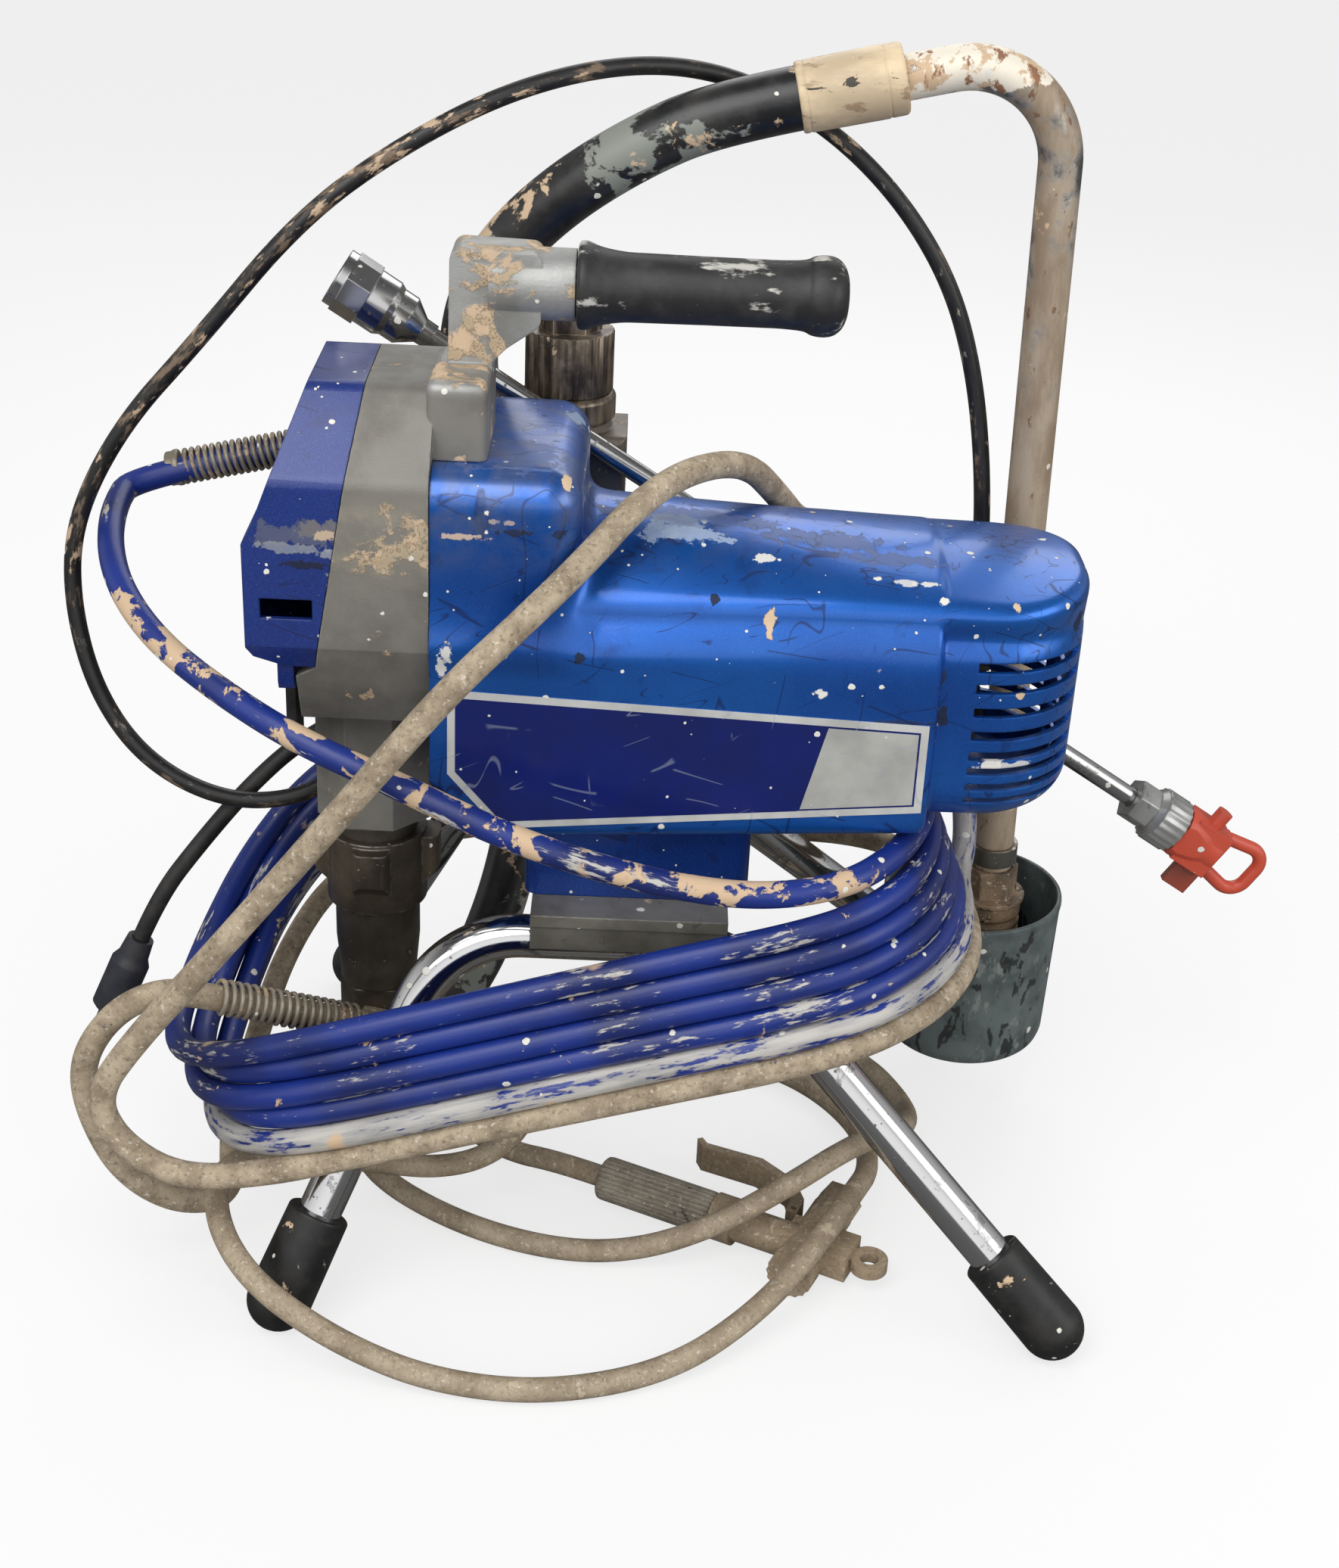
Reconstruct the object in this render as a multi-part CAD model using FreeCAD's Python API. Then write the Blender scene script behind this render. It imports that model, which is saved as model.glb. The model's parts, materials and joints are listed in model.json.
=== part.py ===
# Airless paint sprayer on a tubular stand, with its hose hung round the legs.
# Millimetres. +X runs along the motor towards its rear, +Y away from the hose side, +Z up.
# The floor is z = 0. At the end everything moves so that the origin lies under the middle of the machine.
import FreeCAD
import Part
import math
import os

V = FreeCAD.Vector
X = V(1, 0, 0)
Y = V(0, 1, 0)
Z = V(0, 0, 1)
parts = {}

# Running and seating gaps
FIT = 0.05
GAP = 0.3

# Stand: two tubes bent into wide arches that lean outwards
LEG_R = 10.0
LEG_WALL = 1.6
LEG_BEND = 52.0
LEG_TOP_Z = 169.0
LEG_CORNERS_X = (-103.0, 25.0)
LEG_FEET_X = (-173.0, 182.0)
STAND_MID_Y = 18.0
LEG_TOP_HALF = 70.0
LEG_FOOT_HALF = 144.0
FOOT_R = 15.0
FOOT_LENGTH = 44.0
LEG_INTO_FOOT = 36.0

# Saddle bracket and base housing
SADDLE_X = (-65.0, 24.0)
SADDLE_EDGE = 12.0
SADDLE_TOP = 187.0
SADDLE_PLATE = 6.0
SADDLE_CHEEK = 14.0
BOLT_R = 4.0
BOLT_HEAD = 13.0
BOLT_HEAD_H = 5.0
BOLTS_X = (-48.0, 8.0)
BOLTS_Y = (-28.0, 62.0)
BASE_X = (-69.0, 33.0)
BASE_Y = (-45.0, 74.0)
BASE_CORNER = 7.0
BASE_WALL = 3.0

# Motor shroud
MOTOR_Z = 292.0
SHROUD_FRONT_X = -110.0
PANEL_END_X = 108.0
SHROUD_REAR_X = 175.0
HOUSING_HALF = 61.0
SHROUD_HALF = HOUSING_HALF + 1.0
SHROUD_WALL = 3.0
SHROUD_BOTTOM = (222.0, 237.5)
CREASE_Z = (319.0, 311.0)
CREST_Z = (368.0, 345.0)
UPPER_BOX_X = -47.0
UPPER_BOX_TOP = 391.0
UPPER_BOX_HALF = HOUSING_HALF - 1.0
DRUM_HALF = HOUSING_HALF - 5.0
DRUM_BOTTOM = 248.0
DRUM_CORNER = 46.0
DRUM_DROP = 2.0
SIDE_FACETS = 5
CREST_FACETS = 8
PANEL_EDGE = 9.0
VENT_COUNT = 8
VENT_TOP = 316.0
VENT_PITCH = 8.8
VENT_HEIGHT = 4.6
VENT_START_X = 124.0
VENT_POST = 9.0

# Drive housing, front cover and handle
HOUSING_TOP = 419.0
HOUSING_FLAT = 30.0
HOUSING_SHOULDER = 386.0
HOUSING_BELT = 312.0
HOUSING_WAIST = 270.0
SEAM_TOP_X = -139.0
SEAM_LOW_X = -159.0
COVER_LOW = 301.0
COVER_NOSE_X = -194.0
COVER_BROW_X = -163.0
COVER_BROW_Z = 367.0
COVER_WALL = 3.0
PUMP_X = -141.0
NECK_R = 27.0
NECK_BOTTOM = 206.0
CAVITY_HALF = 53.0
HANDLE_X = (-106.0, -84.0)
HANDLE_HALF = 12.0
HANDLE_TOP = 472.0
HANDLE_FOOT_X = (-113.0, -88.0)
HANDLE_FOOT_Y = (-42.0, 14.0)
HANDLE_FOOT_Z = (386.0, 424.0)
HANDLE_BOSS_R = 15.0
GRIP_Z = 456.0
GRIP_X = (-54.0, 60.0)
GRIP_R = 14.6
GRIP_FLARE = 18.2

# Motor and gears
CAN_R = 49.0
CAN_WALL = 4.0
CAN_X = (-84.0, 104.0)
ROTOR_R = 38.0
ROTOR_X = (-66.0, 86.0)
SHAFT_R = 6.0
FAN_R = 38.0
FAN_X = (118.0, 132.0)
FAN_BLADES = 9
FAN_HUB_R = 13.0
MODULE = 2.0
PINION_TEETH = 10
GEAR_TEETH = 48
GEAR_X = (-123.0, -114.0)
TOOTH_TIP = 0.8
TOOTH_ROOT = 1.25
CRANK_THROW = 10.0
CRANK_DISC_R = 18.0
CRANK_PIN_R = 6.0
ROD_STROKE = 10.0

# Pump
ROD_R = 8.0
PISTON_R = 13.0
PUMP_TUBE_R = 19.0
PUMP_TUBE_Z = (190.0, 262.0)
CLAMP_NUT_Z = (159.0, 196.0)
CLAMP_NUT_R = 23.5
CLAMP_EAR_R = 30.0
CLAMP_EAR_WIDTH = 17.0
INTAKE_Z = (113.0, 159.0)
INTAKE_R = (20.0, 18.0)
INTAKE_BORE = 14.0
BALL_R = 9.0
SEAT_BORE = 6.0
SEAT_H = 5.0
INTAKE_NUT_Z = (88.0, 113.0)
INTAKE_NUT_FLATS = 33.0
ELBOW_Z = 46.0
ELBOW_R = 14.5
ELBOW_REACH = 30.0
ELBOW_AIM = (61.0, 168.0)

# Manifold, filter and valve on the far side
MANIFOLD_X = (-170.0, -31.0)
MANIFOLD_Y = (79.0, 121.0)
MANIFOLD_Z = (327.0, 363.0)
STANDOFFS = ((-128.0, HOUSING_HALF), (-74.0, UPPER_BOX_HALF))
STANDOFF_R = 9.0
FILTER_X = -59.5
FILTER_Y = 100.0
FILTER_COLLAR_R = 22.5
FILTER_COLLAR_Z = (366.0, 380.0)
FILTER_CAP_R = 21.0
FILTER_CAP_Z = (380.3, 409.0)
FILTER_STEP_Z = 417.0
KNURL_COUNT = 36
FILTER_BORE = 15.0
VALVE_X = -148.0
VALVE_Z = 345.0
VALVE_R = 9.0
LEVER_LENGTH = 30.0
OUTLET_Z = 350.0
OUTLET_Y = 92.0
NIPPLE_R = 8.0
LEAD_AIM = (-0.976, -0.064, -0.208)

# Control box on the far side
BOX_X = (-18.0, 117.0)
BOX_Y = (79.0, 135.0)
BOX_Z = (232.0, 304.0)
BOX_CORNER = 6.0
BOX_WALL = 3.0
KNOB_X = 22.0
KNOB_Z = 268.0
KNOB_R = 20.0
KNOB_DEPTH = 18.0
SWITCH_X = 88.0
SWITCH_SIZE = (20.0, 13.0)
SWITCH_ROCK = 0.9
GLAND_Y = 105.0
GLAND_Z = 250.0

# Suction side: hose, ferrule, tube, strainer, cup
SUCTION_HOSE_R = 14.0
SUCTION_HOSE_WALL = 4.0
HOSE_SWEEP = 104.0
FERRULE_R = 15.6
TUBE_R = 10.0
TUBE_WALL = 1.5
TUBE_BEND = 42.0
TUBE_TOP_X = 156.0
TUBE_FOOT = V(167.5, 88.0, 139.0)
TUBE_START = V(85.0, 88.0, 531.0)
FERRULE_START = V(46.5, 88.0, 522.0)
TUBE_NUT_FLATS = 24.0
TUBE_NUT_H = 16.0
FLANGE_R = 18.0
STRAINER_R = 16.5
STRAINER_LENGTH = 72.0
CUP_R = (46.0, 42.5)
CUP_WALL = 2.4
CUP_HEIGHT = 86.0
CUP_CENTRE = V(161.5, 88.0, 38.0)
CLIP_HEIGHT = 10.0
CLIP_WALL = 2.2

# Tip extension stored behind the machine
LANCE_START = V(-152.0, 72.0, 428.5)
LANCE_END = V(247.0, 72.0, 178.5)
LANCE_R = 4.8
LANCE_BORE = 2.4
SWIVEL_R = 13.5
THREAD_R = 10.2
THREAD_LENGTH = 13.8
TIP_NUT_FLATS = 20.0
RETAINER_R = 14.5

# Spray gun on the floor
GUN_GRIP_R = 11.0
GUN_GRIP_LENGTH = 62.0
GUN_START = V(-28.0, -23.0, 12.0)
GUN_AIM = V(0.90, -0.434, 0.0).normalize()
BARREL_U = 112.0
BARREL_R = 10.5
TRIGGER_HEIGHT = 15.0
PLUG_TOP = V(-258.0, 8.0, 122.0)
PLUG_R = 9.5
PLUG_LENGTH = 40.0
SPRING_WIRE_R = 1.0
SPRING_R = 7.5

# Hoses, tubes and cord
HOSE_R = 6.0
DRAIN_R = 4.0
CORD_R = 4.2
COIL_TURNS = 5
STRAND_STEP = 14.4
# Where a turn of the coil passes: place of its top strand, heading, and the angle below level, measured
# outwards from the middle, at which the strands lie on each other
COIL_STATIONS = (
    ("right", V(112, 0, 226), V(0, 1, 0), 294),
    ("back_right", V(60, 112, 208), V(-1, 0, -0.05), 284),
    ("back_left", V(-140, 126, 190), V(-1, -0.1, -0.3), 278),
    ("left", V(-236, -20, 108), V(0, -1, 0), 242),
    ("front_left", V(-150, -102.5, 153.5), V(1, 0, 0.3), 281),
    ("front_right", V(50, -96.5, 215.5), V(1, 0.05, 0.25), 281),
)
CLIMB = {"front_left": 0.3, "front_right": 0.7}
COIL_SECTION_SIDES = 6
RUN_SHARE = 0.45


def box(x, y, z):
    """A block between two values along each axis."""
    return Part.makeBox(x[1] - x[0], y[1] - y[0], z[1] - z[0], V(x[0], y[0], z[0]))


def merged(first, *others):
    """One solid from several that overlap, with faces joined where they run on."""
    solids = (first.fuse(list(others)) if others else first).removeSplitter().Solids
    return solids[0] if len(solids) == 1 else Part.makeCompound(solids)


def rod(radius, start, end):
    """A round bar from one point to another."""
    run = end - start
    return Part.makeCylinder(radius, run.Length, start, run)


def pipe_between(outer, inner, start, end):
    return rod(outer, start, end).cut(rod(inner, start, end))


def towards(shape, start, direction):
    """Stand a shape that was made along +Z at the origin on a point, facing a direction."""
    placed = shape.copy()
    placed.Placement = FreeCAD.Placement(start, FreeCAD.Rotation(Z, direction))
    return placed


def turned(profile, start=V(0, 0, 0), direction=Z):
    """Turn a closed outline of (along, radius) pairs about the axis."""
    points = [V(radius, 0, along) for along, radius in profile]
    face = Part.Face(Part.makePolygon(points + points[:1]))
    return towards(face.revolve(V(0, 0, 0), Z, 360), start, direction)


def prism(points, axis, low, high):
    """Extrude an outline of the two other coordinates, in X, Y, Z order, along an axis."""
    spots = {
        "x": lambda a, b: V(low, a, b),
        "y": lambda a, b: V(a, low, b),
        "z": lambda a, b: V(a, b, low),
    }[axis]
    corners = [spots(a, b) for a, b in points]
    face = Part.Face(Part.makePolygon(corners + corners[:1]))
    return face.extrude({"x": X, "y": Y, "z": Z}[axis] * (high - low))


def hexagon(flats, length, start, direction):
    corners = [(flats / math.sqrt(3) * math.cos(math.radians(60 * i)),
                flats / math.sqrt(3) * math.sin(math.radians(60 * i))) for i in range(6)]
    return towards(prism(corners, "z", 0, length), start, direction)


def knurled(radius, depth, count, length):
    """A round bar with straight grooves all round, as a star outline."""
    outline = []
    for i in range(2 * count):
        r = radius - depth * (i % 2)
        angle = math.pi * i / count
        outline.append((r * math.cos(angle), r * math.sin(angle)))
    return prism(outline, "z", 0, length)


def rounded(shape, radius, chosen):
    """Round the edges whose middle passes a test."""
    edges = [e for e in shape.Edges if chosen(e)]
    return shape.makeFillet(radius, edges)


def along(edge, axis):
    """True for a straight edge that runs along an axis."""
    ends = edge.Vertexes
    if len(ends) < 2:
        return False
    run = ends[1].Point - ends[0].Point
    return run.Length > 0.5 and run.normalize().cross(axis).Length < 0.01


def middle(edge):
    return edge.valueAt((edge.FirstParameter + edge.LastParameter) / 2)


def bent_wire(points, radius=None):
    """Straight runs joined by tangent arcs; without a radius each arc is as large as its runs allow."""
    radii = []
    edges = []
    last = points[0]
    for before, corner, after in zip(points, points[1:], points[2:]):
        to_before = before - corner
        to_after = after - corner
        half_turn = (math.pi - to_before.getAngle(to_after)) / 2
        bend = radius
        if bend is None:
            bend = RUN_SHARE * min(to_before.Length, to_after.Length) / math.tan(half_turn)
        back = bend * math.tan(half_turn)
        a = corner + to_before.normalize() * back
        b = corner + to_after.normalize() * back
        inward = (to_before + to_after).normalize()
        top = corner + inward * (bend / math.cos(half_turn) - bend)
        edges.append(Part.makeLine(last, a))
        edges.append(Part.Arc(a, top, b).toShape())
        radii.append(bend)
        last = b
    edges.append(Part.makeLine(last, points[-1]))
    return Part.Wire(edges), radii


def tube(wire, radius):
    """A round section carried along a wire."""
    first = wire.Edges[0]
    start = first.valueAt(first.FirstParameter)
    aim = first.tangentAt(first.FirstParameter)
    section = Part.Wire(Part.makeCircle(radius, start, aim))
    return wire.makePipeShell([section], True, False)


def cord(name, points, radius):
    """A free hose or cord; prints its bends and how its volume compares with its length."""
    wire, radii = bent_wire([V(*p) for p in points])
    solid = tube(wire, radius)
    share = solid.Volume / (math.pi * radius ** 2 * wire.Length)
    print(name, "length %.0f" % wire.Length, "volume share %.3f" % share,
          "radii in diameters", " ".join("%.1f" % (r / (2 * radius)) for r in radii))
    parts[name] = solid


def group(solids):
    return Part.makeCompound(solids)


# Stand
def stand_tube(side):
    """One arch: a foot, a leg, the flat top, a leg, a foot."""
    top_y = STAND_MID_Y + side * LEG_TOP_HALF
    foot_y = STAND_MID_Y + side * LEG_FOOT_HALF
    corners = [V(LEG_CORNERS_X[0], top_y, LEG_TOP_Z), V(LEG_CORNERS_X[1], top_y, LEG_TOP_Z)]
    feet = [V(x, foot_y, FOOT_R) for x in LEG_FEET_X]
    ends = []
    boots = []
    for foot, corner in zip(feet, corners):
        up = (corner - foot).normalize()
        inside = FOOT_LENGTH - LEG_INTO_FOOT
        ends.append(foot + up * inside)
        ball = Part.makeSphere(FOOT_R, foot)
        sleeve = rod(FOOT_R, foot, foot + up * (FOOT_LENGTH - 2))
        lip = turned([(0, 0), (0, FOOT_R), (2, FOOT_R - 2), (2, 0)], foot + up * (FOOT_LENGTH - 2), up)
        bore = rod(LEG_R, foot + up * inside, foot + up * (FOOT_LENGTH + 1))
        boots.append(merged(ball, sleeve, lip).cut(bore))
    wire, bends = bent_wire([ends[0], corners[0], corners[1], ends[1]], LEG_BEND)
    solid = tube(wire, LEG_R).cut(tube(wire, LEG_R - LEG_WALL))
    return solid, boots, tube(wire, LEG_R + FIT)


parts["frame_tube_near"], near_boots, near_bed = stand_tube(-1)
parts["frame_tube_far"], far_boots, far_bed = stand_tube(1)
parts["rubber_feet"] = group(near_boots + far_boots)

saddle_y = (STAND_MID_Y - LEG_TOP_HALF - SADDLE_EDGE, STAND_MID_Y + LEG_TOP_HALF + SADDLE_EDGE)
saddle = box(SADDLE_X, saddle_y, (SADDLE_TOP - SADDLE_PLATE, SADDLE_TOP))
for side, bed in ((-1, near_bed), (1, far_bed)):
    tube_y = STAND_MID_Y + side * LEG_TOP_HALF
    cheek = box(SADDLE_X, (tube_y - SADDLE_CHEEK / 2 - 4, tube_y + SADDLE_CHEEK / 2 + 4), (LEG_TOP_Z, SADDLE_TOP - 1))
    saddle = merged(saddle, cheek).cut(bed)
bolt_spots = [(x, y) for x in BOLTS_X for y in BOLTS_Y]
for x, y in bolt_spots:
    saddle = saddle.cut(rod(BOLT_R + FIT, V(x, y, SADDLE_TOP - 20), V(x, y, SADDLE_TOP + 1)))
parts["saddle_bracket"] = saddle

bolts = []
for x, y in bolt_spots:
    under = SADDLE_TOP - SADDLE_PLATE
    head = hexagon(BOLT_HEAD, BOLT_HEAD_H, V(x, y, under - BOLT_HEAD_H), Z)
    shank = rod(BOLT_R, V(x, y, under - 1), V(x, y, SADDLE_TOP + BASE_WALL + 4))
    bolts.append(merged(head, shank))
parts["frame_bolts"] = group(bolts)


# Housings are made by crossing the outlines seen from the front, the side and above.
def shroud_form(inset):
    """The shroud's outer form, or its inside when an inset is given."""
    half = SHROUD_HALF - inset
    x_end = PANEL_END_X
    rear = SHROUD_REAR_X - inset
    front = SHROUD_FRONT_X if inset == 0 else SHROUD_FRONT_X - 1

    def at(pair, x):
        share = (x - SHROUD_FRONT_X) / (SHROUD_REAR_X - SHROUD_FRONT_X)
        return pair[0] + (pair[1] - pair[0]) * share

    def section(x, width, low, drop=0.0):
        """Flat side up to the crease, then a roof that curves to the crest."""
        crease = at(CREASE_Z, x)
        crest = at(CREST_Z, x) - inset - drop
        low_y = width - 6
        right = [V(x, width, crease), V(x, 0.86 * width, crease + 0.55 * (crest - crease)),
                 V(x, 0.55 * width, crest - 0.13 * (crest - crease))]
        roof = Part.Arc(*right).toShape().discretize(SIDE_FACETS)
        cap = Part.Arc(right[2], V(x, 0, crest), V(x, -right[2].y, right[2].z)).toShape().discretize(CREST_FACETS)
        left = [V(x, -p.y, p.z) for p in reversed(roof)]
        foot = [V(x, -width, low + 6), V(x, -low_y, low), V(x, low_y, low), V(x, width, low + 6), right[0]]
        return Part.makePolygon(roof + cap[1:] + left[1:] + foot)

    def low_at(x):
        return at(SHROUD_BOTTOM, x) + inset

    body = Part.makeLoft([section(front, half, low_at(front)), section(x_end - inset, half, low_at(x_end))],
                         True, True)
    slope = 28.0
    corner = [(front - 1, SHROUD_BOTTOM[0] - 2), (SHROUD_FRONT_X + 24, SHROUD_BOTTOM[0] - 2),
              (front - 1, SHROUD_BOTTOM[0] + slope + inset)]
    body = body.cut(prism(corner, "y", -100, 100))
    plan = box((front, x_end - inset), (-half, half), (200, 420))
    plan = rounded(plan, PANEL_EDGE - inset, lambda e: along(e, Z) and middle(e).x > 0)
    body = body.common(plan)
    drum_half = DRUM_HALF - inset
    drum_side = Part.makeLoft([section(x_end - 12, drum_half, DRUM_BOTTOM + inset, DRUM_DROP),
                               section(rear, drum_half, DRUM_BOTTOM + inset, DRUM_DROP)], True, True)
    bend = DRUM_CORNER - inset
    plan = box((x_end - 12, rear), (-drum_half, drum_half), (200, 420))
    plan = rounded(plan, bend, lambda e: along(e, Z) and middle(e).x > rear - 1)
    drum = drum_side.common(plan)
    top = box((front, UPPER_BOX_X - inset), (-UPPER_BOX_HALF + inset, UPPER_BOX_HALF - inset),
              (CREASE_Z[0] - 6, UPPER_BOX_TOP - inset))
    top = rounded(top, 15.0 - inset, lambda e: middle(e).z > CREASE_Z[0] + 5
                  and middle(e).x > front + 1)
    return merged(body, drum, top)


shroud = shroud_form(0).cut(shroud_form(SHROUD_WALL))
for i in range(VENT_COUNT):
    z = VENT_TOP - i * VENT_PITCH
    slot = box((VENT_START_X, SHROUD_REAR_X + 5), (-DRUM_HALF - 5, DRUM_HALF + 5), (z - VENT_HEIGHT, z))
    posts = [box((VENT_START_X - 1, SHROUD_REAR_X + 9), (-VENT_POST, VENT_POST), (z - 9, z + 1))]
    for spot in (-1, 1):
        posts.append(box((VENT_START_X + 30, VENT_START_X + 33), (spot * 70 - 30, spot * 70 + 30), (z - 9, z + 1)))
    shroud = shroud.cut(slot.cut(posts[0].fuse(posts[1:])))
window = box((BASE_X[0] + 12, BASE_X[1] - 12), (-30, 30), (200, 260))
shroud = shroud.cut(window)
parts["motor_shroud"] = shroud

base_top = SHROUD_BOTTOM[1]
base = box(BASE_X, BASE_Y, (SADDLE_TOP, base_top))
base = rounded(base, BASE_CORNER, lambda e: along(e, Z))
hollow = box((BASE_X[0] + BASE_WALL, BASE_X[1] - BASE_WALL), (BASE_Y[0] + BASE_WALL, BASE_Y[1] - BASE_WALL),
             (SADDLE_TOP + 2 * BASE_WALL, base_top + 1))
hollow = rounded(hollow, BASE_CORNER - BASE_WALL, lambda e: along(e, Z))
base = base.cut(hollow)
for x, y in bolt_spots:
    base = base.fuse(rod(BOLT_R + 4, V(x, y, SADDLE_TOP), V(x, y, SADDLE_TOP + 14)))
    base = base.cut(rod(BOLT_R + FIT, V(x, y, SADDLE_TOP - 1), V(x, y, SADDLE_TOP + BASE_WALL + 5)))
parts["base_housing"] = merged(base.cut(shroud_form(-GAP)))


# Drive housing with its handle arm
def head_section(half, flat, low, inset=0.0):
    """The outline of housing and cover seen along the motor."""
    side = half - inset
    top = HOUSING_TOP - inset
    shoulder = HOUSING_SHOULDER - inset * 0.4
    return [(-flat, top), (-side, shoulder), (-side, HOUSING_BELT), (-side + 20, low), (side - 20, low),
            (side, HOUSING_BELT), (side, shoulder), (flat, top)]


def seam_x(z):
    """The slanted face between drive housing and front cover."""
    return SEAM_TOP_X + (SEAM_LOW_X - SEAM_TOP_X) * (HOUSING_TOP - z) / (HOUSING_TOP - COVER_LOW)


housing_side = [(seam_x(HOUSING_TOP), HOUSING_TOP), (seam_x(COVER_LOW), COVER_LOW), (-168, COVER_LOW - 6),
                (-168, HOUSING_WAIST), (PUMP_X + NECK_R, NECK_BOTTOM + 34),
                (SHROUD_FRONT_X - GAP, 256), (SHROUD_FRONT_X - GAP, HOUSING_TOP)]
front_form = prism(head_section(HOUSING_HALF, HOUSING_FLAT, HOUSING_WAIST), "x", -200, SHROUD_FRONT_X)
front_form = rounded(front_form, 10.0, lambda e: along(e, X) and middle(e).z > HOUSING_BELT + 5)
housing = front_form.common(prism(housing_side, "y", -100, 100))
neck_corners = [((NECK_R + 1) * math.cos(math.radians(45 * i + 22.5)) + PUMP_X,
                 (NECK_R + 1) * math.sin(math.radians(45 * i + 22.5))) for i in range(8)]
neck = prism(neck_corners, "z", NECK_BOTTOM, HOUSING_BELT + 4)
housing = housing.fuse(neck)
handle_side = [(HANDLE_X[0] - 1, HOUSING_TOP - 20), (HANDLE_X[0], HANDLE_TOP), (HANDLE_X[1] + 16, HANDLE_TOP - 1),
               (HANDLE_X[1] + 16, GRIP_Z - HANDLE_BOSS_R), (HANDLE_X[1] + 2, GRIP_Z - HANDLE_BOSS_R - 10),
               (HANDLE_X[1] - 4, HOUSING_TOP + 6), (HANDLE_X[1] - 4, HOUSING_TOP - 20)]
arm = prism(handle_side, "y", -HANDLE_HALF, HANDLE_HALF)
arm = rounded(arm, 5.0, lambda e: along(e, Y) and middle(e).z > HOUSING_TOP + 2)
boss = rod(HANDLE_BOSS_R, V(HANDLE_X[1] - 6, 0, GRIP_Z), V(GRIP_X[0], 0, GRIP_Z))
grip_pin = rod(8.0, V(GRIP_X[0] - 2, 0, GRIP_Z), V(GRIP_X[1] - 16, 0, GRIP_Z))
foot_block = box(HANDLE_FOOT_X, HANDLE_FOOT_Y, HANDLE_FOOT_Z)
foot_block = rounded(foot_block, 4.0, lambda e: middle(e).z > HANDLE_FOOT_Z[0] + 2)
foot_room = box((SHROUD_FRONT_X - GAP, HANDLE_FOOT_X[1] + 1), (-80, 80), (300, UPPER_BOX_TOP + GAP))
housing = merged(housing, arm, boss, grip_pin, foot_block).cut(foot_room)

crank_z = MOTOR_Z + MODULE * (PINION_TEETH + GEAR_TEETH) / 2
gear_r = MODULE * GEAR_TEETH / 2
web_x = (GEAR_X[0] - 10, GEAR_X[0] - 2)
gear_room = rod(gear_r + 4, V(GEAR_X[0] - 2, 0, crank_z), V(SHROUD_FRONT_X + 1, 0, crank_z))
pinion_room = rod(18.0, V(GEAR_X[0] - 2, 0, MOTOR_Z), V(SHROUD_FRONT_X + 1, 0, MOTOR_Z))
crank_room = box((-200, web_x[0]), (-27, 27), (COVER_LOW - 24, crank_z + 43))
shaft_hole = rod(12.0, V(web_x[0] - 1, 0, crank_z), V(web_x[1] + 1, 0, crank_z))
pump_hole = rod(PUMP_TUBE_R + FIT, V(PUMP_X, 0, NECK_BOTTOM - 1), V(PUMP_X, 0, COVER_LOW - 20))
housing = housing.cut(gear_room.fuse([pinion_room, crank_room, shaft_hole, pump_hole]))
crank_bearing = pipe_between(12.0 - FIT, 8.0 + FIT, V(web_x[0], 0, crank_z), V(web_x[1], 0, crank_z))
parts["drive_housing"] = group([housing, crank_bearing])

grip_profile = [(0, 8.1), (0, GRIP_FLARE), (4, GRIP_FLARE), (10, GRIP_R + 0.6), (22, GRIP_R - 0.4),
                (52, GRIP_R), (92, GRIP_R - 0.8), (97, GRIP_R + 1.2), (106, GRIP_R + 1.4), (112, GRIP_R - 3),
                (114, GRIP_R - 8), (114, 0), (100, 0), (100, 8.1)]
parts["handle_grip"] = turned(grip_profile, V(GRIP_X[0] + GAP, 0, GRIP_Z), X)


# Front cover
def cover_form(inset):
    low = COVER_LOW + (inset and 8)
    side = [(seam_x(HOUSING_TOP) - GAP + (inset and 1), HOUSING_TOP), (COVER_BROW_X + inset, HOUSING_TOP),
            (COVER_NOSE_X + 11 + inset, COVER_BROW_Z), (COVER_NOSE_X + inset, 345), (COVER_NOSE_X + 1 + inset, 320),
            (COVER_NOSE_X + 9 + inset, low + 5), (COVER_NOSE_X + 22 + inset, low),
            (seam_x(low) - GAP + (inset and 1), low)]
    form = prism(head_section(HOUSING_HALF, HOUSING_FLAT, HOUSING_WAIST, inset), "x", -210, SEAM_TOP_X + 2)
    if not inset:
        form = rounded(form, 10.0, lambda e: along(e, X) and middle(e).z > HOUSING_BELT + 5)
    form = form.common(prism(side, "y", -100, 100))
    bow = 300.0
    plan = rod(bow, V(COVER_NOSE_X + inset + bow, 0, 250), V(COVER_NOSE_X + inset + bow, 0, 450))
    return form.common(plan)


cover = cover_form(0).cut(cover_form(COVER_WALL))
notch = box((-181, -159), (-HOUSING_HALF - 9, -HOUSING_HALF + 7), (325, 334))
cover = cover.cut(notch)
tab = box((-176, -169), (-52, -38), (288, COVER_LOW + 14))
parts["front_cover"] = cover.fuse(tab.common(prism(head_section(HOUSING_HALF - 1, 30, 262), "x", -200, -150)))
parts["rubber_flap"] = box((-176, -171), (-34, -16), (250, COVER_LOW - GAP))

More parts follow.
